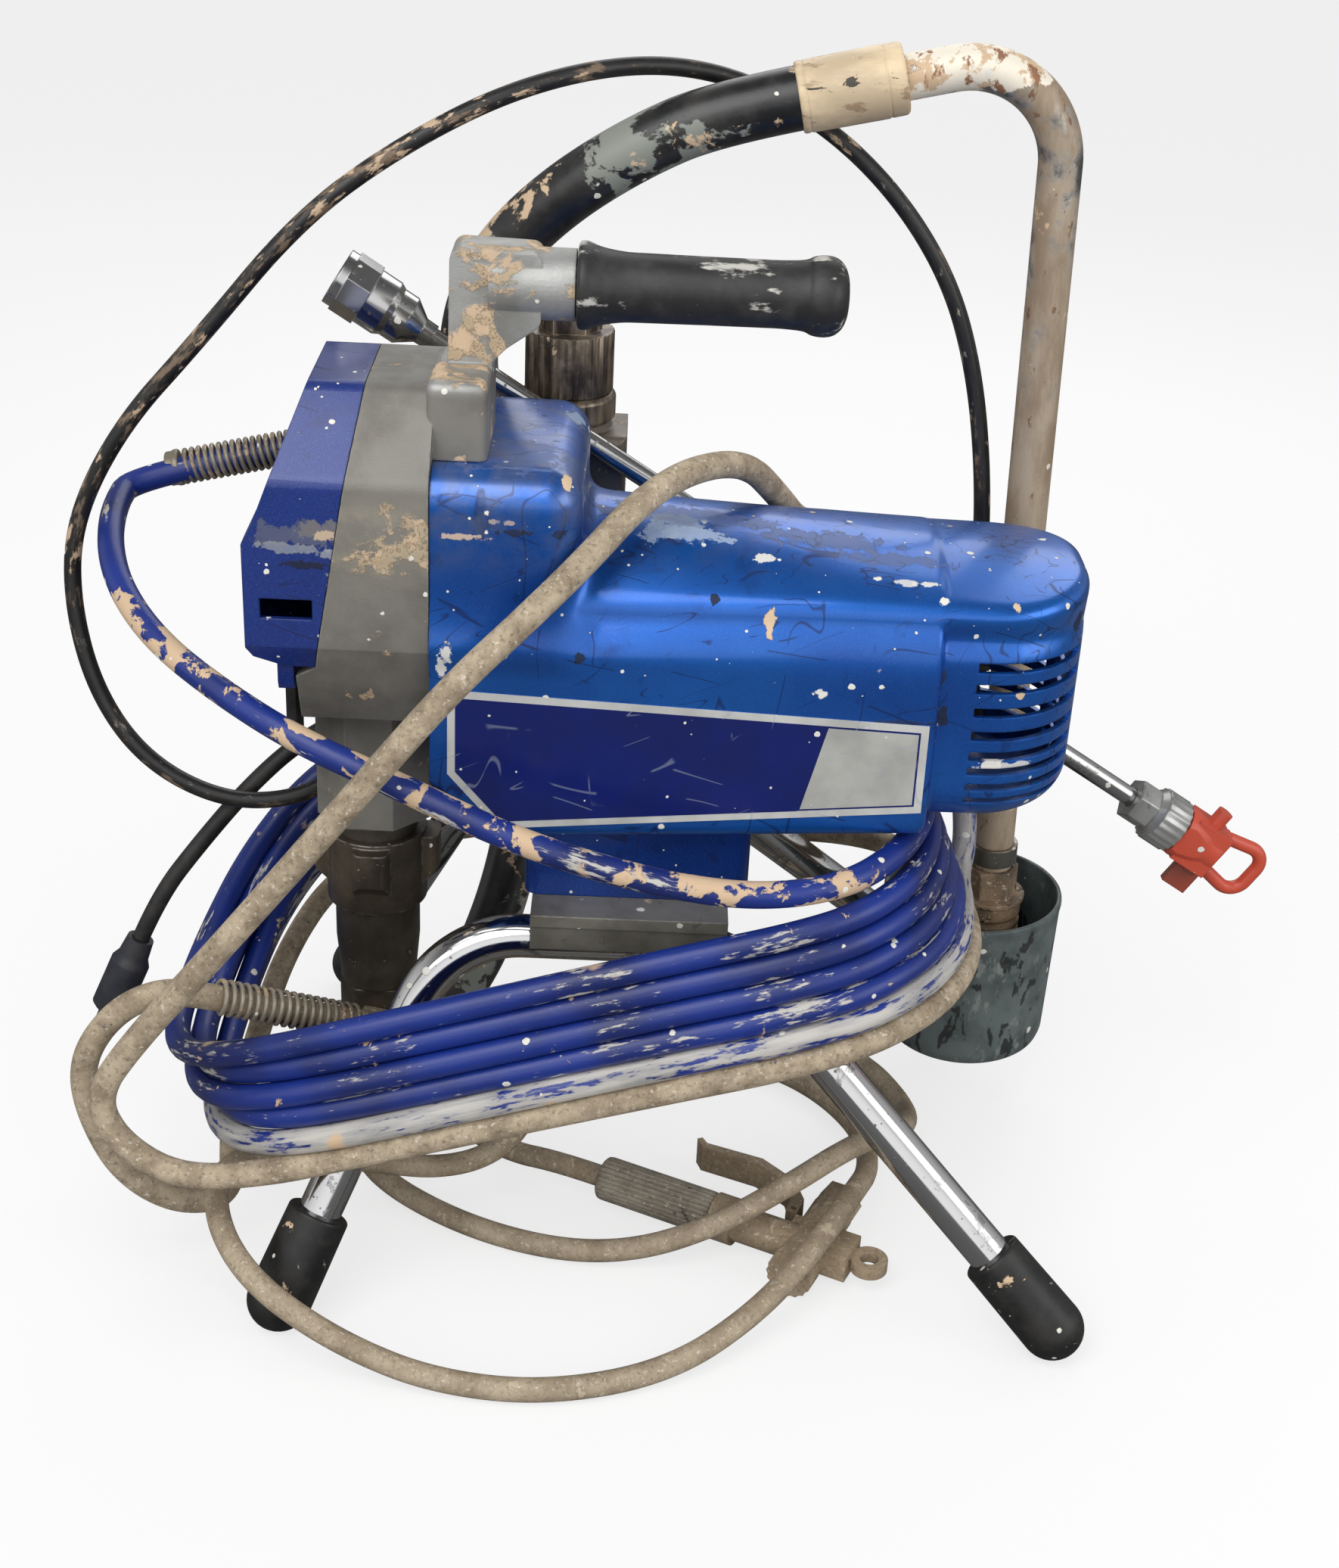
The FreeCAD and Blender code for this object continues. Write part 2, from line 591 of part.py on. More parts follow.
# Motor inside the shroud
can = pipe_between(CAN_R, CAN_R - CAN_WALL, V(CAN_X[0], 0, MOTOR_Z), V(CAN_X[1], 0, MOTOR_Z))
for x in CAN_X:
    inner = 4 if x == CAN_X[0] else -4
    lid = pipe_between(CAN_R, SHAFT_R + FIT, V(min(x, x + inner), 0, MOTOR_Z), V(max(x, x + inner), 0, MOTOR_Z))
    can = can.fuse(lid)
can_feet = box((-40, 10), (-17, 17), (SADDLE_TOP + 2 * BASE_WALL, MOTOR_Z - CAN_R + 3))
can = merged(can, can_feet.cut(rod(CAN_R - 1, V(-60, 0, MOTOR_Z), V(60, 0, MOTOR_Z))))
parts["motor_can"] = can

rotor = rod(ROTOR_R, V(ROTOR_X[0], 0, MOTOR_Z), V(ROTOR_X[1], 0, MOTOR_Z))
for i in range(12):
    a = math.radians(30 * i)
    groove = rod(3.0, V(ROTOR_X[0] - 1, ROTOR_R * math.cos(a), MOTOR_Z + ROTOR_R * math.sin(a)),
                 V(ROTOR_X[1] + 1, ROTOR_R * math.cos(a), MOTOR_Z + ROTOR_R * math.sin(a)))
    rotor = rotor.cut(groove)
shaft = rod(SHAFT_R, V(GEAR_X[0], 0, MOTOR_Z), V(FAN_X[1] + 4, 0, MOTOR_Z))
parts["motor_rotor"] = merged(rotor, shaft)

fan = pipe_between(FAN_HUB_R, SHAFT_R, V(FAN_X[0], 0, MOTOR_Z), V(FAN_X[1], 0, MOTOR_Z))
plate = pipe_between(FAN_R, FAN_HUB_R, V(FAN_X[0], 0, MOTOR_Z), V(FAN_X[0] + 2, 0, MOTOR_Z))
fan = fan.fuse(plate)
for i in range(FAN_BLADES):
    blade = box((FAN_X[0] + 1, FAN_X[1]), (FAN_HUB_R - 1, FAN_R - 1), (-1.2, 1.2))
    blade.rotate(V(0, 0, 0), X, 360.0 * i / FAN_BLADES)
    blade.translate(V(0, 0, MOTOR_Z))
    fan = fan.fuse(blade)
parts["cooling_fan"] = merged(fan)


def gear_outline(teeth, phase):
    """Straight-flanked teeth, thinned a little so that they run free."""
    pitch_r = MODULE * teeth / 2
    tip = pitch_r + MODULE * TOOTH_TIP
    root = pitch_r - MODULE * TOOTH_ROOT
    step = 2 * math.pi / teeth
    outline = []
    for i in range(teeth):
        mid = phase + i * step
        for radius, share in ((root, -0.31), (tip, -0.11), (tip, 0.11), (root, 0.31)):
            angle = mid + share * step
            outline.append((radius * math.cos(angle), radius * math.sin(angle)))
    return outline


def gear(teeth, phase, centre_z, x, bore):
    flat = [(y, z + centre_z) for y, z in gear_outline(teeth, phase)]
    return prism(flat, "x", x[0], x[1]).cut(rod(bore, V(x[0] - 1, 0, centre_z), V(x[1] + 1, 0, centre_z)))


parts["pinion"] = gear(PINION_TEETH, math.pi / 2, MOTOR_Z, (GEAR_X[0] + 0.5, GEAR_X[1] - 0.5), SHAFT_R)
half_tooth = math.pi / GEAR_TEETH
drive = gear(GEAR_TEETH, -math.pi / 2 + half_tooth, crank_z, GEAR_X, 8.0)
for i in range(6):
    a = math.radians(60 * i)
    hole = rod(8.0, V(GEAR_X[0] - 1, 28 * math.cos(a), crank_z + 28 * math.sin(a)),
               V(GEAR_X[1] + 1, 28 * math.cos(a), crank_z + 28 * math.sin(a)))
    drive = drive.cut(hole)
parts["drive_gear"] = drive

disc_x = (web_x[0] - 6, web_x[0] - 1)
crank = rod(8.0, V(disc_x[1] - 1, 0, crank_z), V(GEAR_X[1], 0, crank_z))
crank = crank.fuse(rod(CRANK_DISC_R, V(disc_x[0], 0, crank_z), V(disc_x[1], 0, crank_z)))
pin_y = CRANK_THROW
crank = crank.fuse(rod(CRANK_PIN_R, V(PUMP_X - 8, pin_y, crank_z), V(disc_x[0] + 1, pin_y, crank_z)))
parts["crankshaft"] = merged(crank)

# Pump: connecting rod, pump rod, tube, nuts and intake
eye_half = (CRANK_THROW + CRANK_PIN_R + 1.5, CRANK_THROW + ROD_STROKE + CRANK_PIN_R + 1)
eye_x = (PUMP_X - 6, PUMP_X + 1)
link = box(eye_x, (-eye_half[0] - 5, eye_half[0] + 5), (crank_z - eye_half[1] - 5, crank_z + eye_half[1] + 5))
link = rounded(link, 12.0, lambda e: along(e, X))
eye = box((eye_x[0] - 1, eye_x[1] + 1), (-eye_half[0], eye_half[0]), (crank_z - eye_half[1], crank_z + eye_half[1]))
eye = rounded(eye, 8.0, lambda e: along(e, X))
link = link.cut(eye)
link_foot = crank_z - eye_half[1] - 5
stem = rod(7.0, V(PUMP_X, 0, link_foot - 14), V(PUMP_X, 0, link_foot + 2))
stem = stem.common(box((eye_x[0] - 9, eye_x[1] + 9), (-9, 9), (0, 500)))
parts["connecting_rod"] = merged(link, stem)

rod_top = link_foot - 14
rod_foot = INTAKE_Z[1] + 14 + ROD_STROKE
pump_rod = rod(ROD_R, V(PUMP_X, 0, rod_foot), V(PUMP_X, 0, rod_top))
piston = rod(PISTON_R, V(PUMP_X, 0, rod_foot), V(PUMP_X, 0, rod_foot + 14))
parts["pump_rod"] = merged(pump_rod, piston)

bore_r = PISTON_R + FIT
pump_tube = pipe_between(PUMP_TUBE_R, bore_r, V(PUMP_X, 0, CLAMP_NUT_Z[0] + 4), V(PUMP_X, 0, PUMP_TUBE_Z[1]))
parts["pump_cylinder"] = pump_tube
packing_z = (PUMP_TUBE_Z[1] - 12, PUMP_TUBE_Z[1] + 10)
packing = pipe_between(bore_r - FIT, ROD_R + FIT, V(PUMP_X, 0, packing_z[0]), V(PUMP_X, 0, packing_z[1]))
packing_head = knurled(PUMP_TUBE_R - 1, 1.5, 12, 9.0)
packing_head.translate(V(PUMP_X, 0, PUMP_TUBE_Z[1]))
packing_head = packing_head.cut(rod(ROD_R + FIT, V(PUMP_X, 0, 200), V(PUMP_X, 0, 300)))
parts["packing_nut"] = merged(packing, packing_head)

clamp = rod(CLAMP_NUT_R, V(PUMP_X, 0, CLAMP_NUT_Z[0]), V(PUMP_X, 0, CLAMP_NUT_Z[1]))
for i in range(4):
    ear = box((NECK_R - 10, CLAMP_EAR_R), (-CLAMP_EAR_WIDTH / 2, CLAMP_EAR_WIDTH / 2),
              (CLAMP_NUT_Z[0] + 10, CLAMP_NUT_Z[1] - 2))
    ear = rounded(ear, 5.0, lambda e: along(e, Z) and middle(e).x > NECK_R)
    low = CLAMP_NUT_Z[0] + 10
    wedge = prism([(NECK_R - 6, low - 1), (CLAMP_EAR_R + 1, low - 1), (CLAMP_EAR_R + 1, low + 9)], "y", -20, 20)
    ear = ear.cut(wedge)
    ear.rotate(V(0, 0, 0), Z, 90 * i)
    ear.translate(V(PUMP_X, 0, 0))
    clamp = clamp.fuse(ear)
clamp = clamp.cut(rod(PUMP_TUBE_R, V(PUMP_X, 0, CLAMP_NUT_Z[0] + 4), V(PUMP_X, 0, 300)))
clamp = clamp.cut(rod(INTAKE_BORE + 2, V(PUMP_X, 0, 100), V(PUMP_X, 0, 300)))
parts["clamp_nut"] = merged(clamp)

low, high = INTAKE_Z
intake_profile = [(low, INTAKE_BORE - 4), (low, INTAKE_R[1]), (low + 6, INTAKE_R[1] + 0.4), (high - 22, INTAKE_R[0]),
                  (high - 1, INTAKE_R[0]), (high, INTAKE_R[0] - 1), (high, INTAKE_BORE), (low + 12, INTAKE_BORE),
                  (low + 8, INTAKE_BORE - 4)]
intake = turned(intake_profile, V(PUMP_X, 0, 0))
seat_z = low + 12
ball_seat = pipe_between(INTAKE_BORE - FIT, SEAT_BORE, V(PUMP_X, 0, seat_z + FIT), V(PUMP_X, 0, seat_z + SEAT_H))
parts["intake_housing"] = group([intake, ball_seat])
ball_rest = math.sqrt((BALL_R + GAP) ** 2 - SEAT_BORE ** 2)
parts["intake_ball"] = Part.makeSphere(BALL_R, V(PUMP_X, 0, seat_z + SEAT_H + ball_rest))

nut = hexagon(INTAKE_NUT_FLATS, INTAKE_NUT_Z[1] - INTAKE_NUT_Z[0], V(PUMP_X, 0, INTAKE_NUT_Z[0]), Z)
nut = nut.cut(rod(9.0, V(PUMP_X, 0, 0), V(PUMP_X, 0, 200)))
intake_nut = nut

aim = V(ELBOW_AIM[0], ELBOW_AIM[1], 0).normalize()
centre = V(PUMP_X, 0, ELBOW_Z)
elbow_wire, _ = bent_wire([V(PUMP_X, 0, INTAKE_NUT_Z[0] - FIT), centre, centre + aim * ELBOW_REACH], 18.0)
elbow = tube(elbow_wire, ELBOW_R - 1.5).cut(tube(elbow_wire, 8.5))
collar = pipe_between(ELBOW_R + 1.5, 8.5, centre + aim * (ELBOW_REACH - 9), centre + aim * ELBOW_REACH)
parts["inlet_elbow"] = group([intake_nut, merged(elbow, collar)])

# Manifold, filter and prime valve on the far side
manifold = box(MANIFOLD_X, MANIFOLD_Y, MANIFOLD_Z)
manifold = rounded(manifold, 5.0, lambda e: along(e, Z) or along(e, X))
tower = rod(FILTER_COLLAR_R - 3, V(FILTER_X, FILTER_Y, MANIFOLD_Z[0] + 2), V(FILTER_X, FILTER_Y, FILTER_COLLAR_Z[0]))
flare = turned([(0, 0), (0, FILTER_COLLAR_R + 1), (6, FILTER_COLLAR_R - 3), (6, 0)],
               V(FILTER_X, FILTER_Y, MANIFOLD_Z[1] - 3))
manifold = manifold.fuse([tower, flare])
for x, wall_y in STANDOFFS:
    manifold = manifold.fuse(rod(STANDOFF_R, V(x, wall_y, VALVE_Z), V(x, MANIFOLD_Y[0] + 1, VALVE_Z)))
manifold = merged(manifold)
manifold = manifold.cut(rod(FILTER_BORE, V(FILTER_X, FILTER_Y, MANIFOLD_Z[0] + 6), V(FILTER_X, FILTER_Y, 420)))
manifold = manifold.cut(rod(VALVE_R - 3 + FIT, V(VALVE_X, MANIFOLD_Y[1] - 14, VALVE_Z), V(VALVE_X, 130, VALVE_Z)))
manifold = manifold.cut(rod(4.0, V(MANIFOLD_X[0] - 1, OUTLET_Y, OUTLET_Z), V(MANIFOLD_X[0] + 24, OUTLET_Y, OUTLET_Z)))
collar_z = FILTER_COLLAR_Z
disc = turned([(0, 0), (0, FILTER_COLLAR_R - 2), (2, FILTER_COLLAR_R), (12, FILTER_COLLAR_R), (14, FILTER_COLLAR_R - 2),
               (14, 0)], V(FILTER_X, FILTER_Y, collar_z[0]))
collar = disc.cut(rod(FILTER_BORE, V(FILTER_X, FILTER_Y, 300), V(FILTER_X, FILTER_Y, 420)))
parts["filter_collar"] = collar

cap = knurled(FILTER_CAP_R, 0.9, KNURL_COUNT, FILTER_CAP_Z[1] - FILTER_CAP_Z[0])
cap.translate(V(FILTER_X, FILTER_Y, FILTER_CAP_Z[0]))
step = hexagon(26.0, FILTER_STEP_Z - FILTER_CAP_Z[1] + 1, V(FILTER_X, FILTER_Y, FILTER_CAP_Z[1] - 1), Z)
plug = rod(FILTER_BORE - FIT, V(FILTER_X, FILTER_Y, FILTER_CAP_Z[0] - 12), V(FILTER_X, FILTER_Y, FILTER_CAP_Z[0] + 2))
cap = merged(cap, step, plug)
parts["filter_cap"] = cap.cut(rod(9.0, V(FILTER_X, FILTER_Y, 300), V(FILTER_X, FILTER_Y, FILTER_CAP_Z[1] - 6)))
element = rod(8.0, V(FILTER_X, FILTER_Y, MANIFOLD_Z[0] + 6 + FIT), V(FILTER_X, FILTER_Y, FILTER_CAP_Z[1] - 8))
element = element.cut(rod(5.5, V(FILTER_X, FILTER_Y, MANIFOLD_Z[0] + 9), V(FILTER_X, FILTER_Y, 420)))
parts["fluid_manifold"] = group([manifold, element])

far_face = MANIFOLD_Y[1]
valve = rod(VALVE_R - 3, V(VALVE_X, far_face - 13.5, VALVE_Z), V(VALVE_X, far_face + 8, VALVE_Z))
valve = valve.fuse(hexagon(17.0, 6, V(VALVE_X, far_face + GAP, VALVE_Z), Y))
lever = rod(11.0, V(VALVE_X, far_face + 8 + FIT, VALVE_Z), V(VALVE_X, far_face + 17, VALVE_Z))
arm_bar = box((-4, 4), (0, 6.5), (0, LEVER_LENGTH))
arm_bar = rounded(arm_bar, 2.0, lambda e: along(e, Z) or middle(e).z > LEVER_LENGTH - 0.5)
arm_bar.rotate(V(0, 0, 0), Y, 180)
arm_bar.translate(V(VALVE_X, far_face + 9.5, VALVE_Z))
parts["prime_valve"] = group([merged(valve), merged(lever, arm_bar)])

nipple_start = V(MANIFOLD_X[0], OUTLET_Y, OUTLET_Z)
nipple = hexagon(19.0, 9, nipple_start, V(-1, 0, 0))
lead_aim = V(*LEAD_AIM).normalize()
outlet_end = nipple_start - X * 8 + lead_aim * 8
nipple = nipple.fuse(rod(NIPPLE_R - 2, outlet_end - lead_aim * 10, outlet_end))
drain_exit = V(FILTER_X - 18, FILTER_Y, MANIFOLD_Z[0])
barb = rod(5.5, drain_exit - Z * 4, drain_exit)
barb = barb.fuse(rod(3.0, drain_exit - Z * 8, drain_exit - Z * 3))
parts["fluid_fittings"] = group([merged(nipple), merged(barb)])

# Control box with knob, switch and gland
control = box(BOX_X, BOX_Y, BOX_Z)
control = rounded(control, BOX_CORNER, lambda e: middle(e).y > BOX_Y[0] + 1)
control = control.cut(box((BOX_X[0] + BOX_WALL, BOX_X[1] - BOX_WALL), (BOX_Y[0] + BOX_WALL, BOX_Y[1] - BOX_WALL),
                          (BOX_Z[0] + BOX_WALL, BOX_Z[1] - BOX_WALL)))
for x, z in ((BOX_X[0] + 20, KNOB_Z), (BOX_X[1] - 22, BOX_Z[0] + 19)):
    control = control.fuse(rod(7.0, V(x, DRUM_HALF - 2, z), V(x, BOX_Y[0] + 1, z)))
control = control.cut(shroud_form(-GAP))
stem_hole = rod(4.0 + FIT, V(KNOB_X, BOX_Y[1] - 5, KNOB_Z), V(KNOB_X, BOX_Y[1] + 1, KNOB_Z))
half_w, half_h = SWITCH_SIZE[0] / 2, SWITCH_SIZE[1] / 2
switch_hole = box((SWITCH_X - half_w - SWITCH_ROCK, SWITCH_X + half_w + SWITCH_ROCK), (BOX_Y[1] - 8, BOX_Y[1] + 1),
                  (KNOB_Z - half_h - GAP, KNOB_Z + half_h + GAP))
parts["control_box"] = control.cut(stem_hole.fuse(switch_hole))

knob = knurled(KNOB_R, 1.6, 10, KNOB_DEPTH)
knob = towards(knob, V(KNOB_X, BOX_Y[1] + GAP, KNOB_Z), Y)
pointer = box((KNOB_X - 1.5, KNOB_X + 1.5), (BOX_Y[1] + KNOB_DEPTH - 1, BOX_Y[1] + KNOB_DEPTH + 2), (KNOB_Z, KNOB_Z + 16))
knob = knob.fuse([pointer, rod(4.0, V(KNOB_X, BOX_Y[1] - 7, KNOB_Z), V(KNOB_X, BOX_Y[1] + 2, KNOB_Z))])
parts["pressure_knob"] = merged(knob)

rocker_profile = [(SWITCH_X - half_w, BOX_Y[1] - 3), (SWITCH_X - half_w, BOX_Y[1] + 4), (SWITCH_X, BOX_Y[1] + 1),
                  (SWITCH_X + half_w, BOX_Y[1] + 1), (SWITCH_X + half_w, BOX_Y[1] - 3)]
parts["power_switch"] = prism(rocker_profile, "z", KNOB_Z - half_h, KNOB_Z + half_h)
gland_start = V(BOX_X[0], GLAND_Y, GLAND_Z)
parts["cord_gland"] = turned([(0, CORD_R + FIT), (0, 9), (5, 9), (6, 7), (26, 5.4), (26, CORD_R + FIT)], gland_start,
                             V(-1, 0, 0))

# Suction hose, ferrule, tube, strainer and drip cup
hose_out = centre + aim * ELBOW_REACH
ferrule_run = TUBE_START - FERRULE_START
riser = V(PUMP_X, 0, ELBOW_Z) + V(*ELBOW_AIM, 0)
spread = 0.27 * HOSE_SWEEP
hose_corners = [hose_out + aim * (aim.dot(riser - hose_out) - HOSE_SWEEP + spread)]
for turn in (30, 60):
    step = aim * math.cos(math.radians(turn)) + Z * math.sin(math.radians(turn))
    hose_corners.append(hose_corners[-1] + step * 2 * spread)
SUCTION_ROUTE = [hose_out] + hose_corners + [V(-83, 166, 190), V(-88, 160, 250), V(-96, 148, 304), V(-106, 132, 352),
                 V(-110, 115, 398), V(-96, 104, 438), V(-68, 96, 469), V(-33, 91, 494), FERRULE_START - ferrule_run * 1.15,
                 FERRULE_START]
hose_wire, hose_radii = bent_wire(SUCTION_ROUTE)
print("suction_hose length %.0f" % hose_wire.Length, "radii in diameters",
      " ".join("%.1f" % (r / (2 * SUCTION_HOSE_R)) for r in hose_radii))
parts["suction_hose"] = tube(hose_wire, SUCTION_HOSE_R).cut(tube(hose_wire, SUCTION_HOSE_R - SUCTION_HOSE_WALL))
length = ferrule_run.Length
ferrule_profile = [(-8, SUCTION_HOSE_R), (-8, FERRULE_R - 0.6), (-6, FERRULE_R), (4, FERRULE_R), (5, FERRULE_R - 0.8),
                   (11, FERRULE_R - 0.8), (12, FERRULE_R), (18, FERRULE_R), (19, FERRULE_R - 0.8),
                   (25, FERRULE_R - 0.8), (26, FERRULE_R), (length - 1, FERRULE_R), (length, FERRULE_R - 1),
                   (length, TUBE_R), (0.5, TUBE_R), (0.5, SUCTION_HOSE_R)]
parts["hose_ferrule"] = turned(ferrule_profile, FERRULE_START, ferrule_run)
tube_top = TUBE_START + ferrule_run * ((TUBE_TOP_X - TUBE_START.x) / ferrule_run.x)
down = (TUBE_FOOT - tube_top).normalize()
tube_end = TUBE_FOOT + down * 6
tube_wire, _ = bent_wire([TUBE_START - ferrule_run * 0.5, tube_top, tube_end], TUBE_BEND)
parts["suction_tube"] = tube(tube_wire, TUBE_R).cut(tube(tube_wire, TUBE_R - TUBE_WALL))
nut = hexagon(TUBE_NUT_FLATS, TUBE_NUT_H, tube_end - down * 6, down)
nut = nut.fuse(rod(FLANGE_R, tube_end + down * 10, tube_end + down * 13))
nut = nut.cut(rod(TUBE_R, tube_end - down * 7, tube_end)).cut(rod(7.0, tube_end - down, tube_end + down * 20))
tube_nut = merged(nut)
strainer_top = tube_end + down * (13 + FIT)
strainer = rod(STRAINER_R, strainer_top, strainer_top + down * STRAINER_LENGTH)
for i in range(10):
    band = strainer_top + down * (8 + 6 * i)
    strainer = strainer.cut(pipe_between(STRAINER_R + 1, STRAINER_R - 2, band, band + down * 3))
strainer = strainer.cut(rod(STRAINER_R - 4, strainer_top - down, strainer_top + down * (STRAINER_LENGTH - 3)))
parts["strainer"] = group([tube_nut, strainer])

up = down * -1
cup_profile = [(0, 0), (0, CUP_R[1] - 8), (2.5, CUP_R[1] - 2.6), (8, CUP_R[1]), (CUP_HEIGHT, CUP_R[0]),
               (CUP_HEIGHT, CUP_R[0] - CUP_WALL), (9, CUP_R[1] - CUP_WALL), (4.6, CUP_R[1] - CUP_WALL - 2),
               (CUP_WALL, CUP_R[1] - 9), (CUP_WALL, 0)]
parts["drip_cup"] = turned(cup_profile, CUP_CENTRE, up)
clip_at = TUBE_FOOT - down * 3
clip = pipe_between(TUBE_R + CLIP_WALL, TUBE_R + FIT, clip_at, clip_at - down * CLIP_HEIGHT)
rim_reach = math.sqrt((CUP_R[0] + GAP) ** 2 - (TUBE_FOOT.x - CUP_CENTRE.x) ** 2)
clip_arm = box((-4, 4), (TUBE_R + 1.5, rim_reach + CLIP_WALL), (0, CLIP_WALL))
hook = box((-4, 4), (rim_reach, rim_reach + CLIP_WALL), (-34, CLIP_WALL))
clip_arm = clip_arm.fuse(hook)
clip_arm = towards(clip_arm, clip_at - down * (CLIP_HEIGHT - 3), up)
parts["cup_clip"] = merged(clip, clip_arm)

# Tip extension stored behind the machine
lance_run = (LANCE_END - LANCE_START).normalize()
lance = pipe_between(LANCE_R, LANCE_BORE, LANCE_START, LANCE_END)
parts["lance_tube"] = lance
swivel_profile = [(-14, THREAD_R), (-14, SWIVEL_R), (12, SWIVEL_R), (15, SWIVEL_R - 1.6), (22, SWIVEL_R - 1.6),
                  (30, LANCE_R + 1.4), (36, LANCE_R + 1.2), (36, LANCE_R + FIT), (THREAD_LENGTH - 14, LANCE_R + FIT),
                  (THREAD_LENGTH - 14, THREAD_R)]
swivel = turned(swivel_profile, LANCE_START, lance_run)
octagon = [((SWIVEL_R + 0.2) / math.cos(math.pi / 8) * math.cos(math.radians(45 * i + 22.5)),
            (SWIVEL_R + 0.2) / math.cos(math.pi / 8) * math.sin(math.radians(45 * i + 22.5))) for i in range(8)]
nut8 = towards(prism(octagon, "z", 0, 12), LANCE_START - lance_run * 10, lance_run)
swivel = swivel.fuse(nut8.cut(rod(SWIVEL_R - 1, LANCE_START - lance_run * 12, LANCE_START + lance_run * 20)))
parts["lance_swivel"] = merged(swivel)
hex_back = LANCE_END - lance_run * 20
hex_nut = hexagon(TIP_NUT_FLATS, 12, hex_back, lance_run).cut(rod(LANCE_R, hex_back - lance_run, LANCE_END))
seat_end = LANCE_END + lance_run * 24
core = rod(8.0, LANCE_END, seat_end).cut(rod(2.0, LANCE_END - lance_run, seat_end + lance_run))
core = core.fuse(pipe_between(8.0, LANCE_R, LANCE_END - lance_run * (8 - FIT), LANCE_END))
parts["lance_tip_end"] = group([hex_nut, merged(core)])
retainer = knurled(RETAINER_R, 0.7, 20, 14)
retainer = towards(retainer, LANCE_END - lance_run * 5, lance_run)
skirt = turned([(-3, 10), (0, RETAINER_R - 1.5), (3, RETAINER_R - 1.5), (3, 0), (-3, 0)], LANCE_END - lance_run * 5,
               lance_run)
retainer = retainer.fuse(skirt).cut(rod(8.0 + FIT, LANCE_END - lance_run * 10, LANCE_END + lance_run * 20))
parts["retaining_nut"] = merged(retainer)

guard_at = LANCE_END + lance_run * 10
guard = turned([(0, 0), (0, 13.5), (4, 14), (13, 12.5), (18, 11), (24, 11), (24, 0)])
flat = box((-12.5, 12.5), (-9.5, 9.5), (4, 25))
guard = guard.common(box((-30, 30), (-11.5, 11.5), (-1, 40))).fuse(flat)
for side in (-1, 1):
    wing = prism([(side * 6, 20), (side * 13, 22), (side * 15, 50), (side * 11, 53), (side * 4, 30)], "y", -3.2, 3.2)
    guard = guard.fuse(wing)
bar = box((-15, 15), (-3.2, 3.2), (47, 53))
bar = rounded(bar, 2.5, lambda e: along(e, Y))
stub = rod(4.2, V(-6, 0, 15), V(-21, 0, 15))
guard = guard.fuse([bar, stub]).cut(rod(8.0 + FIT, V(0, 0, -1), V(0, 0, 16.2)))
guard = guard.cut(rod(3.5, V(0, 0, 10), V(0, 0, 30))).cut(rod(5.0 + FIT, V(-12, 0, 20), V(16, 0, 20)))
guard = merged(guard)
parts["tip_guard"] = towards(guard, guard_at, lance_run)
tip = rod(5.0, V(-11, 0, 20), V(15, 0, 20)).fuse(box((14, 27), (-2.2, 2.2), (13, 27)))
tip = tip.cut(rod(1.0, V(0, 0, 10), V(0, 0, 30)))
parts["spray_tip"] = towards(merged(tip), guard_at, lance_run)


def station(which, slot):
    """Place and heading of the strand in a slot of the ladder of strands at a station of the coil."""
    _, place, heading, fall = COIL_STATIONS[which]
    along_way = V(heading.x, heading.y, 0).normalize()
    outward = V(along_way.y, -along_way.x, 0)
    angle = math.radians(fall)
    step = outward * math.cos(angle) + Z * math.sin(angle)
    return place + step * (slot * STRAND_STEP), V(heading).normalize()


def biarc(start, aim_a, end, aim_b):
    """Two arcs that leave one point and reach another with the given headings."""
    way = end - start
    both = aim_a + aim_b
    bend = 2 * (1 - aim_a.dot(aim_b))
    if bend < 1e-4:
        reach = way.dot(way) / (4 * way.dot(aim_b))
    else:
        reach = (-way.dot(both) + math.sqrt(way.dot(both) ** 2 + bend * way.dot(way))) / bend
    joint = (start + end + (aim_a - aim_b) * reach) * 0.5
    return [arc_from(start, aim_a, joint), arc_to(joint, end, aim_b)], joint


def arc_from(start, aim_a, end):
    """The arc that leaves a point with a heading and ends at another point."""
    chord = end - start
    length = chord.Length
    turn = aim_a.getAngle(chord)
    if turn < 1e-4:
        return Part.makeLine(start, end)
    radius = length / (2 * math.sin(turn))
    chord.normalize()
    outwards = (aim_a - chord * aim_a.dot(chord)).normalize()
    top = (start + end) * 0.5 + outwards * (radius * (1 - math.cos(turn)))
    return Part.Arc(start, top, end).toShape()


def arc_to(start, end, aim_b):
    """The arc that reaches a point with a heading."""
    edge = arc_from(end, aim_b * -1, start)
    if edge.Curve.TypeId == "Part::GeomLine":
        return Part.makeLine(start, end)
    middle_point = edge.valueAt((edge.FirstParameter + edge.LastParameter) / 2)
    return Part.Arc(start, middle_point, end).toShape()


def winding(first, last, slot):
    """Edges of the coil's strand between two counted stations; it climbs a slot along the front."""
    count = len(COIL_STATIONS)
    edges = []
    base = slot
    spots = []
    for i in range(first, last + 1):
        which = i % count
        if which == 0 and i > first:
            base += 1
        spots.append(station(which, base + CLIMB.get(COIL_STATIONS[which][0], 0)))
    for (a, aim_a), (b, aim_b) in zip(spots, spots[1:]):
        edges += biarc(a, aim_a, b, aim_b)[0]
    return edges, spots


